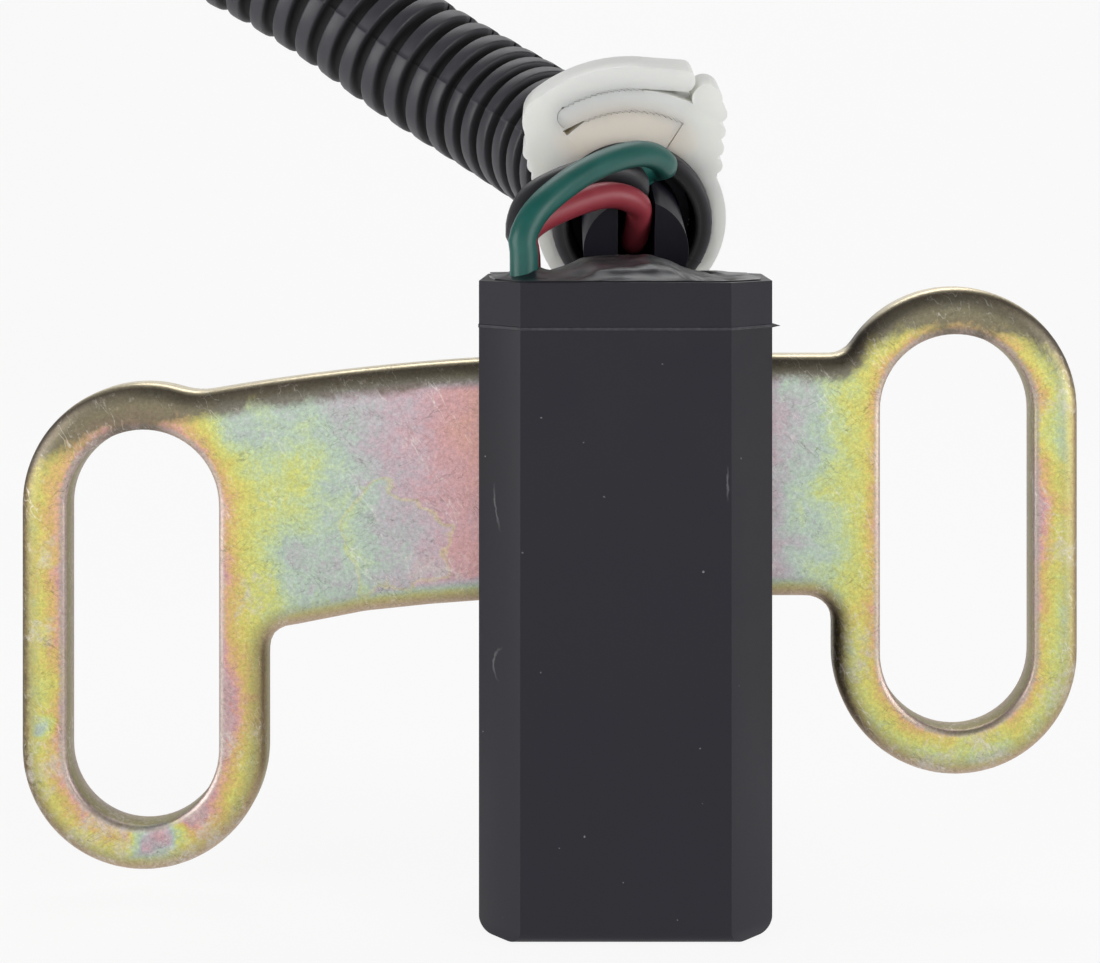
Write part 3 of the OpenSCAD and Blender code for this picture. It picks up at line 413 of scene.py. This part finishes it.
# Flaked, brown and rubbed metal is duller
gloss = add(zinc, "MapRange", Value=flake, To_Min=0.34, To_Max=0.5)
dull = add(zinc, "Math", {"operation": "MULTIPLY"}, _0=brown_edge_shade, _1=off_top_highlight)
gloss = add(zinc, "Math", {"operation": "MULTIPLY_ADD"}, _0=dull, _1=0.22, _2=gloss)
gloss = add(zinc, "Math", {"operation": "MULTIPLY_ADD"}, _0=lip, _1=0.18, _2=gloss)
relief = add(zinc, "Bump", Height=grain, Strength=0.35, Distance=0.05 * MM)
surface = add(zinc, "BsdfPrincipled", Base_Color=tint, Roughness=gloss, Normal=relief, Metallic=0.9)
add(zinc, "OutputMaterial", Surface=surface)
bracket_plate = put("bracket_plate", plate, zinc)
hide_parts("bracket")
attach(bracket_plate, "root")


# Housing: glass-filled nylon moulded round the bracket, with cut corners, a flash line where the two
# halves of the mould met, and the slotted spigot for the loom at the top of its back.
rim_z, half_w, half_d, cut = 56.8, 12.85, 10.0, 3.8
parting_z = 52.85
# Black moulded nylon: dull with a slight sheen, faintly mottled over 9 mm where the fibres drift, a fine
# spark-eroded grain, and a few ragged pale dust specks up to 0.25 mm across.
nylon = bare("glass_filled_nylon_moulded_black")
here = add(nylon, "TexCoord").outputs["Object"]
mottle = add(nylon, "TexNoise", Vector=here, Scale=1 / (9 * MM), Detail=6.0, Roughness=0.6)
fibres = add(nylon, "TexNoise", Vector=here, Scale=1 / (0.5 * MM), Detail=2.0)
tone = add(nylon, "Mix", {"data_type": "RGBA"}, _0=mottle, _6=linear("13121b"), _7=linear("1b1a26"))
ragged_mm = 0.3
ragged = add(nylon, "VectorMath", {"operation": "MULTIPLY_ADD"}, _0=fibres.outputs["Color"],
             _1=[ragged_mm * MM] * 3, _2=here)
dust = add(nylon, "TexVoronoi", Vector=ragged, Scale=1 / (1.7 * MM))
speck = add(nylon, "SeparateColor", Color=dust.outputs["Color"])
speck = add(nylon, "MapRange", Value=speck.outputs["Red"], From_Min=0.35, From_Max=1.0, To_Max=0.075)
dust = add(nylon, "Math", {"operation": "SUBTRACT"}, _0=speck, _1=dust.outputs["Distance"])
scuffed = add(nylon, "MapRange", Value=dust, From_Min=0.0, From_Max=0.03, To_Max=0.5)
# Scuffs with soft sides: centre and radius of the arc that each follows, its middle and half its length
scuff_half = 0.12
flat = add(nylon, "VectorMath", {"operation": "MULTIPLY"}, _0=ragged, _1=(1, 0, 1))
for x, z, r, mid_x, mid_z, half in ((0.9, 39.0, 12.0, -11.0, 37.4, 2.2), (-9.2, 23.7, 2.0, -11.2, 23.9, 1.7),
                                    (49.0, 39.8, 40.0, 9.0, 39.8, 1.6)):
    off = add(nylon, "VectorMath", {"operation": "DISTANCE"}, _0=flat, _1=(x * MM, 0, z * MM))
    off = add(nylon, "Math", {"operation": "SUBTRACT"}, _0=off, _1=(r + ragged_mm / 2) * MM)
    off = add(nylon, "Math", {"operation": "ABSOLUTE"}, _0=off)
    off = add(nylon, "MapRange", Value=off, From_Min=scuff_half * MM, From_Max=0.0, To_Max=0.28)
    ends = add(nylon, "VectorMath", {"operation": "DISTANCE"}, _0=flat, _1=(mid_x * MM, 0, mid_z * MM))
    ends = add(nylon, "MapRange", Value=ends, From_Min=half * MM, From_Max=0.3 * half * MM)
    off = add(nylon, "Math", {"operation": "MULTIPLY"}, _0=off, _1=ends)
    scuffed = add(nylon, "Math", {"operation": "MAXIMUM"}, _0=scuffed, _1=off)
# The flash on the parting line is rubbed a little paler in places
line = add(nylon, "SeparateXYZ", Vector=here)
line = add(nylon, "Math", {"operation": "SUBTRACT"}, _0=line.outputs["Z"], _1=parting_z * MM)
line = add(nylon, "Math", {"operation": "ABSOLUTE"}, _0=line)
line = add(nylon, "MapRange", Value=line, From_Min=0.18 * MM, From_Max=0.08 * MM, To_Max=0.16)
line = add(nylon, "Math", {"operation": "MULTIPLY"}, _0=line, _1=fibres)
scuffed = add(nylon, "Math", {"operation": "MAXIMUM"}, _0=scuffed, _1=line)
dusted = add(nylon, "Mix", {"data_type": "RGBA"}, _0=scuffed, _6=tone, _7=linear("a9a9ad"))
gloss = add(nylon, "MapRange", Value=mottle, From_Min=0.3, From_Max=0.7, To_Min=0.4, To_Max=0.52)
relief = add(nylon, "Bump", Height=fibres, Strength=0.15, Distance=0.03 * MM)
surface = add(nylon, "BsdfPrincipled", Base_Color=dusted, Roughness=gloss, Normal=relief,
              Specular_IOR_Level=0.34)
add(nylon, "OutputMaterial", Surface=surface)
paint("housing", nylon)
soften("housing", 0.18)

# Crumbs of flash that the mould left: one on the parting line, two where the plate leaves the right side.
# Each is a wedge rooted in the wall: its place, how far it stands out, its height and depth
root = 0.3
flash = bmesh.new()
for x, y, z, out, tall, deep in ((half_w, -5.2, parting_z, 0.8, 0.5, 1.3), (12.8, 1.6, 26.9, 0.65, 1.5, 0.9),
                                 (12.8, 1.75, 28.3, 0.4, 1.2, 0.6)):
    base = [flash.verts.new(Vector((x - root, y + b * deep / 2, z + a * tall / 2)) * MM)
            for a, b in ((-1, -1), (-1, 1), (1, 1), (1, -1))]
    tip = [flash.verts.new(Vector((x + out * c, y + b * deep / 5, z - tall * 0.1)) * MM)
           for b, c in ((-1, 1.0), (1, 0.8))]
    flash.faces.new(base)
    flash.faces.new((base[0], base[1], tip[1], tip[0]))
    flash.faces.new((base[2], base[3], tip[0], tip[1]))
    flash.faces.new((base[1], base[2], tip[1]))
    flash.faces.new((base[3], base[0], tip[0]))
mould_flash = put("mould_flash", flash, nylon, smooth=False)
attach(mould_flash, "root")


# Potting: black epoxy poured round the wires. It sets as an uneven glossy skin that climbs the wires
# and stands above the rim in the middle.
skin_lift, skirt_in, skirt_down = 0.1, 0.9, 3.0
# How far inside the housing's plan the skin ends, at least and on average, and how much that wanders
edge_least, edge_mean, edge_wander = 0.2, 0.9, 1.1
mound_h, mound_w, mound_d = 1.85, 5.6, 7.5
# Widths here and in the hollows are squares of a radius
climb_h, climb_wide = 0.9, 4.0
feet = [(-8.95, -5.35), (-8.95, -2.75), (-8.95, -0.15)]
# Hollows in the skin: place, depth and width
hollows = ((8.3, -4.2, 0.9, 1.6), (5.8, -6.6, 0.6, 1.0), (9.2, 1.5, 0.8, 2.2), (-3.8, -7.2, 0.5, 0.9))


def octagon_reach(angle, shrink):
    """Distance from the middle to the housing's plan, moved in by a wall, at an angle."""
    c, s = abs(math.cos(angle)), abs(math.sin(angle))
    reach = min((half_w - shrink) / max(c, 1e-6), (half_d - shrink) / max(s, 1e-6))
    return min(reach, (half_w + half_d - cut - shrink * math.sqrt(2)) / (c + s))


def rise(x, y):
    """How far the skin stands up: a mound with lumps and creases that climbs the wires, less the hollows."""
    mound = mound_h * math.exp(-((x + 0.2) / mound_w) ** 4 - ((y + 0.5) / mound_d) ** 2)
    # Lumps 4 mm and 1.6 mm across, and creases 2 to 3 mm apart
    lump = noise.noise(Vector((x * 0.25, y * 0.25, 3.1))) * 0.5
    lump += noise.noise(Vector((x * 0.62, y * 0.62, 7.7))) * 0.22
    crease = 0.3 - abs(noise.noise(Vector((x * 0.45, y * 0.3, 11.9)))) * 1.1
    climb = sum(climb_h * math.exp(-((x - fx) ** 2 + (y - fy) ** 2) / climb_wide) for fx, fy in feet)
    sunk = sum(deep * math.exp(-((x - hx) ** 2 + (y - hy) ** 2) / wide) for hx, hy, deep, wide in hollows)
    return mound + 0.75 * lump + 0.22 * crease + climb - sunk


pour = bmesh.new()
rounds, spokes = 46, 180
rows = []
for i in range(rounds + 1):
    share = i / rounds
    # The outer fifth comes down to the rim
    inside = min(1.0, (1 - share) / 0.2)
    row = []
    for k in range(spokes if i else 1):
        angle = 2 * math.pi * k / spokes
        # The skin's edge wanders over the rim
        wander = noise.noise(Vector((math.cos(angle) * 3.5, math.sin(angle) * 3.5, 1.3)))
        reach = octagon_reach(angle, max(edge_least, edge_mean + edge_wander * wander)) * share
        x, y = reach * math.cos(angle), reach * math.sin(angle)
        z = rim_z + skin_lift + 0.08 * abs(wander) + inside * rise(x, y)
        row.append(pour.verts.new(Vector((x, y, z)) * MM))
    rows.append(row)
# The skin's edge turns down into the cup
rows.append([pour.verts.new(Vector((v.co.x * skirt_in, v.co.y * skirt_in, (rim_z - skirt_down) * MM)))
             for v in rows[-1]])
for k in range(spokes):
    pour.faces.new((rows[0][0], rows[1][k], rows[1][(k + 1) % spokes]))
for upper, lower in zip(rows[1:], rows[2:]):
    for k in range(spokes):
        m = (k + 1) % spokes
        pour.faces.new((upper[k], lower[k], lower[m], upper[m]))
pour.faces.new(list(reversed(rows[-1])))
# Set epoxy: nearly black and wet-looking, with soft creases over 2 mm
epoxy = finish("potting_epoxy_black", "18181f", "24242c", 2.4, 0.35, bump=0.18, depth_mm=0.12)
potting_skin = put("potting_skin", pour, epoxy)
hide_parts("potting")
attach(potting_skin, "root")


# Loom: black corrugated polyethylene tube, 16 mm outside, split along its length. It is pushed over the
# spigot and arches up to the left, then comes down to the surface, where the plug lies.
route = [Vector(p) for p in (
    (0.8, 16, 61), (0.4, 28, 64), (-5, 41, 68), (-14, 53, 73.5), (-25.5, 60.5, 80.5), (-37, 64.5, 88.5),
    (-49.5, 67, 95.5), (-63, 68.5, 100.5), (-77, 69, 103), (-90, 69, 102), (-103, 69, 98), (-114.5, 69, 91.5),
    (-124.5, 69.5, 83), (-132, 71, 73), (-138, 72.5, 61.5), (-142, 75.5, 49.5), (-144.5, 80, 38),
    (-147, 87, 27.5), (-148.5, 96, 18.5), (-149.5, 107.5, 12), (-150, 120, 8.5), (-150, 133, 8))]


def smooth_path(points, spacing):
    """A curve through the points (Catmull-Rom), sampled at even steps."""
    ends = [2 * points[0] - points[1]] + points + [2 * points[-1] - points[-2]]
    parts = 24
    fine = []
    for i in range(1, len(ends) - 2):
        a, b, c, d = ends[i - 1:i + 3]
        for k in range(parts):
            t = k / parts
            fine.append(0.5 * (2 * b + (c - a) * t + (2 * a - 5 * b + 4 * c - d) * t * t
                               + (3 * b - a - 3 * c + d) * t ** 3))
    fine.append(points[-1].copy())
    return spread(fine, max(2, round(length(fine) / spacing)))


def frames(path, up):
    """Tangent, side and up at each point of a path, carried along without twist."""
    made = []
    for i in range(len(path)):
        t = (path[min(i + 1, len(path) - 1)] - path[max(i - 1, 0)]).normalized()
        up = (up - up.dot(t) * t).normalized()
        made.append((t, t.cross(up), up))
    return made


def piece(name, verts, faces, mat):
    """A smooth piece from points in millimetres and faces that give the points' numbers."""
    form = bmesh.new()
    points = [form.verts.new(v * MM) for v in verts]
    for face in faces:
        form.faces.new([points[i] for i in face])
    return put(name, form, mat)


loom_r, loom_wall, groove, rib = 8.0, 0.5, 1.2, 3.8
loom_step, loom_sides = 0.25, 48
# Angles in degrees: the split and half its width, the mould lines, and half the foot and ridge of each
seam_angle, seam_half = 62.0, 1.6
mould_lines, line_foot, line_ridge, line_h = (150.0, 330.0), 0.8, 0.35, 0.06
# One rib from groove to groove: share of its length, and of the groove's depth
rib_profile = ((0.0, 1.0), (0.13, 0.98), (0.18, 0.86), (0.21, 0.5), (0.235, 0.16), (0.26, 0.04), (0.3, 0.0),
               (0.5, -0.02), (0.7, 0.0), (0.74, 0.04), (0.765, 0.16), (0.79, 0.5), (0.82, 0.86), (0.87, 0.98))
line = smooth_path(route, loom_step)
loom_length = length(line)
line_frames = frames(line, Vector((0, 0, 1)))
stations = [((i + share) * rib, deep * groove) for i in range(int(loom_length / rib))
            for share, deep in rib_profile]
stations.append((loom_length, groove))
# Angle and lift of each line along the tube: even steps, with a fine ridge where the mould's blocks met
around = [(seam_angle + seam_half + (360 - 2 * seam_half) * k / loom_sides, 0.0)
          for k in range(loom_sides + 1)]
for mark in mould_lines:
    around += [(mark - line_foot, 0.0), (mark - line_ridge, line_h), (mark + line_ridge, line_h),
               (mark + line_foot, 0.0)]
around.sort()
verts, faces, crests = [], [], []
for skin in (0.0, loom_wall):
    outside = skin == 0.0
    for far, deep in stations:
        at = min(len(line) - 1.001, far / loom_length * (len(line) - 1))
        low, share = int(at), at - int(at)
        middle = line[low].lerp(line[low + 1], share)
        t, s, u = (a.lerp(b, share) for a, b in zip(line_frames[low], line_frames[low + 1]))
        for a, lift in around:
            turn = math.radians(a)
            reach = loom_r - deep - skin + (lift if outside else 0)
            verts.append(middle + reach * (s * math.cos(turn) + u * math.sin(turn)))
            crests.append(1 - deep / groove if outside else 0.0)
wide, tall = len(around), len(stations)
inner = wide * tall
for i in range(tall - 1):
    for k in range(wide - 1):
        a = i * wide + k
        faces.append((a, a + 1, a + wide + 1, a + wide))
        faces.append((inner + a, inner + a + wide, inner + a + wide + 1, inner + a + 1))
    for k in (0, wide - 1):
        a = i * wide + k
        faces.append((a, a + wide, inner + a + wide, inner + a))
for i in (0, tall - 1):
    for k in range(wide - 1):
        a = i * wide + k
        faces.append((a, inner + a, inner + a + 1, a + 1))
# Extruded polyethylene: a waxy satin black. The crests are paler with a soft shine; the grooves are duller
# and painted near black as painted shade
poly = bare("corrugated_polyethylene_black")
here = add(poly, "TexCoord").outputs["Object"]
crest = add(poly, "Attribute", {"attribute_name": "crest"}).outputs["Fac"]
wax = add(poly, "TexNoise", Vector=here, Scale=1 / (2.5 * MM), Detail=5.0, Roughness=0.65)
shade_by_depth = add(poly, "MapRange", Value=crest, From_Min=0.3, From_Max=0.95)
top = add(poly, "Mix", {"data_type": "RGBA"}, _0=wax, _6=linear("323137"), _7=linear("424147"))
tone = add(poly, "Mix", {"data_type": "RGBA"}, _0=shade_by_depth, _6=linear("111113"), _7=top)
gloss = add(poly, "MapRange", Value=shade_by_depth, To_Min=0.7, To_Max=0.4)
gloss = add(poly, "Math", {"operation": "MULTIPLY_ADD"}, _0=wax, _1=0.14, _2=gloss)
relief = add(poly, "Bump", Height=wax, Strength=0.12, Distance=0.05 * MM)
surface = add(poly, "BsdfPrincipled", Base_Color=tone, Roughness=gloss, Normal=relief,
              Specular_IOR_Level=0.45)
add(poly, "OutputMaterial", Surface=surface)
loom_tube = piece("loom_tube", verts, faces, poly)
height = loom_tube.data.attributes.new("crest", "FLOAT", "POINT")
height.data.foreach_set("value", crests)
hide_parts("loom")
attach(loom_tube, "root")


# Wires: three stranded leads in PVC insulation, 2.5 mm outside. They leave the potting in a row, loop
# over to the spigot's slot and run through the loom in a row that turns from upright to level.
wire_r, wire_step, wire_sides, row_pitch = 1.25, 0.8, 20, 2.7
# Heights of each wire's straight foot, and how far the row sits above the loom's middle at first
foot_z = (45.0, 52.0, 58.9)
row_lift = (1.9, 1.7, 0.6, 0.0)
plug_y, pin_z, pin_pitch, seal_depth, cap_t = 148.0, 7.5, 5.6, 9.0, 2.5
lead_in, lead_straight = 2.0, 3.0
# Which of the loom's route points the wires follow
wire_stations = (0, 1, 2, 4, 6, 8, 10, 12, 14, 16, 18, 20, 21)


def in_loom(i, k):
    """Where the wire in place k of the row passes the loom's route point i."""
    t = (route[min(i + 1, len(route) - 1)] - route[max(i - 1, 0)]).normalized()
    s = t.cross(Vector((0, 0, 1))).normalized()
    u = s.cross(t)
    turn = math.radians(90 * max(0, i - 2) / (len(route) - 3))
    lift = row_lift[min(i, len(row_lift) - 1)]
    return route[i] + u * (lift + k * row_pitch * math.cos(turn)) + s * (k * row_pitch * math.sin(turn))


# Colour, foot, place in the row, pin in the plug, two tones of the PVC, and the loop from potting to spigot
leads = (
    ("green", feet[0], 1, 1, "15524b", "1f635c",
     ((-9, -5.3, 60.7), (-7.5, -4.2, 63.3), (-4, -0.4, 66.1), (-0.2, 4, 67.8), (2.4, 7.5, 68),
      (3.9, 10.5, 67), (2.4, 13.6, 66.6))),
    ("red", feet[1], -1, -1, "91323d", "a2414b",
     ((-8.8, -2.4, 61.1), (-6, 0.4, 62.9), (-1.8, 4.1, 64.2), (1.1, 6.4, 63.4), (1.3, 9, 61.4),
      (0.9, 12, 59.7))),
    ("black", feet[2], 0, 0, "2c2c2f", "363639",
     ((-9.7, 0.6, 61.1), (-8.6, 2.5, 64), (-4.8, 4.6, 66), (-1.4, 6.8, 66.6), (0.9, 8.8, 65.8),
      (1.1, 10.5, 64.2), (1, 12.4, 62.7))))
wires = {}
for colour, foot, row, pin, tone, other, loop in leads:
    entry = Vector((route[-1].x + pin * pin_pitch, plug_y - cap_t - lead_in, pin_z))
    points = [Vector((*foot, z)) for z in foot_z] + [Vector(p) for p in loop]
    points += [in_loom(i, row) for i in wire_stations]
    points += [entry, entry + Vector((0, lead_straight, 0)), Vector((entry.x, plug_y + seal_depth, pin_z))]
    path = smooth_path(points, wire_step)
    verts, faces = [], []
    for p, (t, s, u) in zip(path, frames(path, Vector((0, -1, 0)))):
        for k in range(wire_sides):
            a = 2 * math.pi * k / wire_sides
            verts.append(p + wire_r * (s * math.cos(a) + u * math.sin(a)))
    for i in range(len(path) - 1):
        for k in range(wire_sides):
            a, b = i * wire_sides + k, i * wire_sides + (k + 1) % wire_sides
            faces.append((a, b, b + wire_sides, a + wire_sides))
    faces.append(tuple(range(wire_sides - 1, -1, -1)))
    faces.append(tuple(len(verts) - wire_sides + k for k in range(wire_sides)))
    # Soft PVC: an even colour with a low sheen
    pvc = finish("PVC_insulation_" + colour, tone, other, 3.0, 0.42, bump=0.12, depth_mm=0.05,
                 Specular_IOR_Level=0.4)
    lead = piece(colour + "_lead", verts, faces, pvc)
    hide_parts(colour + "_wire")
    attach(lead, "root")
    wires[colour] = (lead, path)


# Clamp: natural nylon, moulded in one piece and pushed shut over the loom. Its tongue clicks in between
# two jaws with fine teeth, and the scalloped pads are for finger and thumb.
# Natural nylon: milky white and a little translucent. Round the inner jaw over the loom it is painted cream:
# its middle, half its width and half its height
cream_x, cream_z, cream_w, cream_h = 0.2, 69.5, 6.5, 3.6
clamp = bare("natural_nylon_moulded")
here = add(clamp, "TexCoord").outputs["Object"]
away = add(clamp, "VectorMath", {"operation": "MULTIPLY_ADD"}, _0=here,
           _1=(1 / (cream_w * MM), 0, 1 / (cream_h * MM)), _2=(-cream_x / cream_w, 0, -cream_z / cream_h))
away = add(clamp, "VectorMath", {"operation": "LENGTH"}, _0=away)
milky = add(clamp, "MapRange", Value=away, From_Min=0.75, From_Max=1.2)
haze = add(clamp, "TexNoise", Vector=here, Scale=1 / (4 * MM), Detail=4.0, Roughness=0.5)
shade = add(clamp, "Mix", {"data_type": "RGBA"}, _0=milky, _6=linear("f0e5d6"), _7=linear("e9eae5"))
relief = add(clamp, "Bump", Height=haze, Strength=0.1, Distance=0.1 * MM)
surface = add(clamp, "BsdfPrincipled", Base_Color=shade, Roughness=0.38, Normal=relief, Subsurface_Weight=0.6,
              Subsurface_Radius=(0.0035, 0.0034, 0.003), Subsurface_Scale=1.0)
add(clamp, "OutputMaterial", Surface=surface)
paint("hose_clamp", clamp)
soften("hose_clamp", 0.06)


# Plug: a generic sealed three-way plug that lies on the surface where the loom ends. Black shell with a
# latch ramp and finger ribs, grey rear cap, silicone seals and tin-plated blades.
paint("plug_shell", finish("moulded_PBT_black", "232327", "2a2a2e", 5.0, 0.4, bump=0.12, depth_mm=0.04))
soften("plug_shell", 0.3)
paint("plug_cap", finish("moulded_PBT_grey", "4b4d51", "55575b", 4.0, 0.45))
soften("plug_cap", 0.25)
paint("wire_seals", finish("silicone_green_grey", "5c7d70", "66897b", 2.0, 0.55))
paint("plug_ring", finish("silicone_rust_red", "8c4630", "9a5039", 2.0, 0.55))
paint("terminal_lock", finish("moulded_PBT_orange", "b3591f", "bd6329", 3.0, 0.42))
soften("terminal_lock", 0.15)
for colour in wires:
    brass = finish("tin_plated_brass_" + colour, "ccc8ba", "bdb8a8", 1.0, 0.28, metallic=1.0)
    paint(colour + "_terminal", brass)


# Studio: a plain white floor under the tip that curves up behind, soft boxes, and a level camera.
# White to the eye and in reflections, with a little left to the lamps so that the object's shadow stays.
paper = bare("white_paper")
ray = add(paper, "LightPath").outputs
seen = add(paper, "Math", {"operation": "ADD", "use_clamp": True}, _0=ray["Is Camera Ray"],
           _1=ray["Is Glossy Ray"])
seen = add(paper, "Math", {"operation": "ADD", "use_clamp": True}, _0=seen, _1=ray["Is Transmission Ray"])
seen = add(paper, "Math", {"operation": "MULTIPLY"}, _0=seen, _1=0.9)
lit = add(paper, "BsdfDiffuse", Color=linear("f4f4f4"))
glow = add(paper, "Emission", Color=linear("ffffff"), Strength=1.0)
mixed = add(paper, "MixShader", Fac=seen, _1=lit, _2=glow)
add(paper, "OutputMaterial", Surface=mixed)
# The floor's sizes are in metres
floor_half, floor_front, floor_top, below_tip = 1.0, -0.7, 1.2, 0.0002
bend_y, bend_r, bend_steps = 0.45, 0.25, 12
bend = [math.pi / 2 * i / bend_steps for i in range(1, bend_steps + 1)]
sweep = [(floor_front, 0.0), (bend_y, 0.0)]
sweep += [(bend_y + bend_r * math.sin(a), bend_r - bend_r * math.cos(a)) for a in bend]
sweep.append((bend_y + bend_r, floor_top))
verts = [(x, y, z - below_tip) for x in (-floor_half, floor_half) for y, z in sweep]
faces = [(i, i + len(sweep), i + len(sweep) + 1, i + 1) for i in range(len(sweep) - 1)]
mesh = bpy.data.meshes.new("floor")
mesh.from_pydata(verts, [], faces)
for polygon in mesh.polygons:
    polygon.use_smooth = True
mesh.materials.append(paper)
floor = bpy.data.objects.new("floor", mesh)
bpy.context.collection.objects.link(floor)

world = bpy.data.worlds.new("studio")
bpy.context.scene.world = world
world.use_nodes = True
world.node_tree.nodes["Background"].inputs["Color"].default_value = (1, 1, 1, 1)
world.node_tree.nodes["Background"].inputs["Strength"].default_value = 0.14
# A tall soft box on each side, a weak wide one in front and one above the back, so that upper edges stay
# dark: place, aim, width and height in metres, and power in watts
for name, place, aim, wide, tall, power in (("left box", (-0.42, -0.22, 0.05), (0, 0, 0.03), 0.34, 0.4, 2.2),
                                            ("right box", (0.42, -0.22, 0.05), (0, 0, 0.03), 0.34, 0.4, 2.0),
                                            ("front", (0.0, -0.75, 0.0), (0, 0, 0.03), 0.7, 0.35, 1.5),
                                            ("back", (0.0, 0.35, 0.6), (0, 0.02, 0.03), 0.5, 0.3, 1.2)):
    lamp = bpy.data.lights.new(name, "AREA")
    lamp.shape = "RECTANGLE"
    lamp.size, lamp.size_y = wide, tall
    lamp.energy = power
    bulb = bpy.data.objects.new(name, lamp)
    bulb.location = place
    bulb.rotation_euler = (Vector(aim) - Vector(place)).to_track_quat("-Z", "Y").to_euler()
    bpy.context.collection.objects.link(bulb)

# The camera is level and close, and its shift, not its tilt, brings the part into the frame
lens = bpy.data.cameras.new("camera")
lens.lens, lens.sensor_width, lens.clip_start = 62.7, 36.0, 0.01
lens.shift_x, lens.shift_y = -0.0573, -0.274
camera = bpy.data.objects.new("camera", lens)
camera.location = (-0.0011, -0.174, 0.0656)
camera.rotation_euler = (math.pi / 2, 0, 0)
bpy.context.collection.objects.link(camera)
bpy.context.scene.camera = camera
bpy.context.scene.view_settings.view_transform = "Standard"
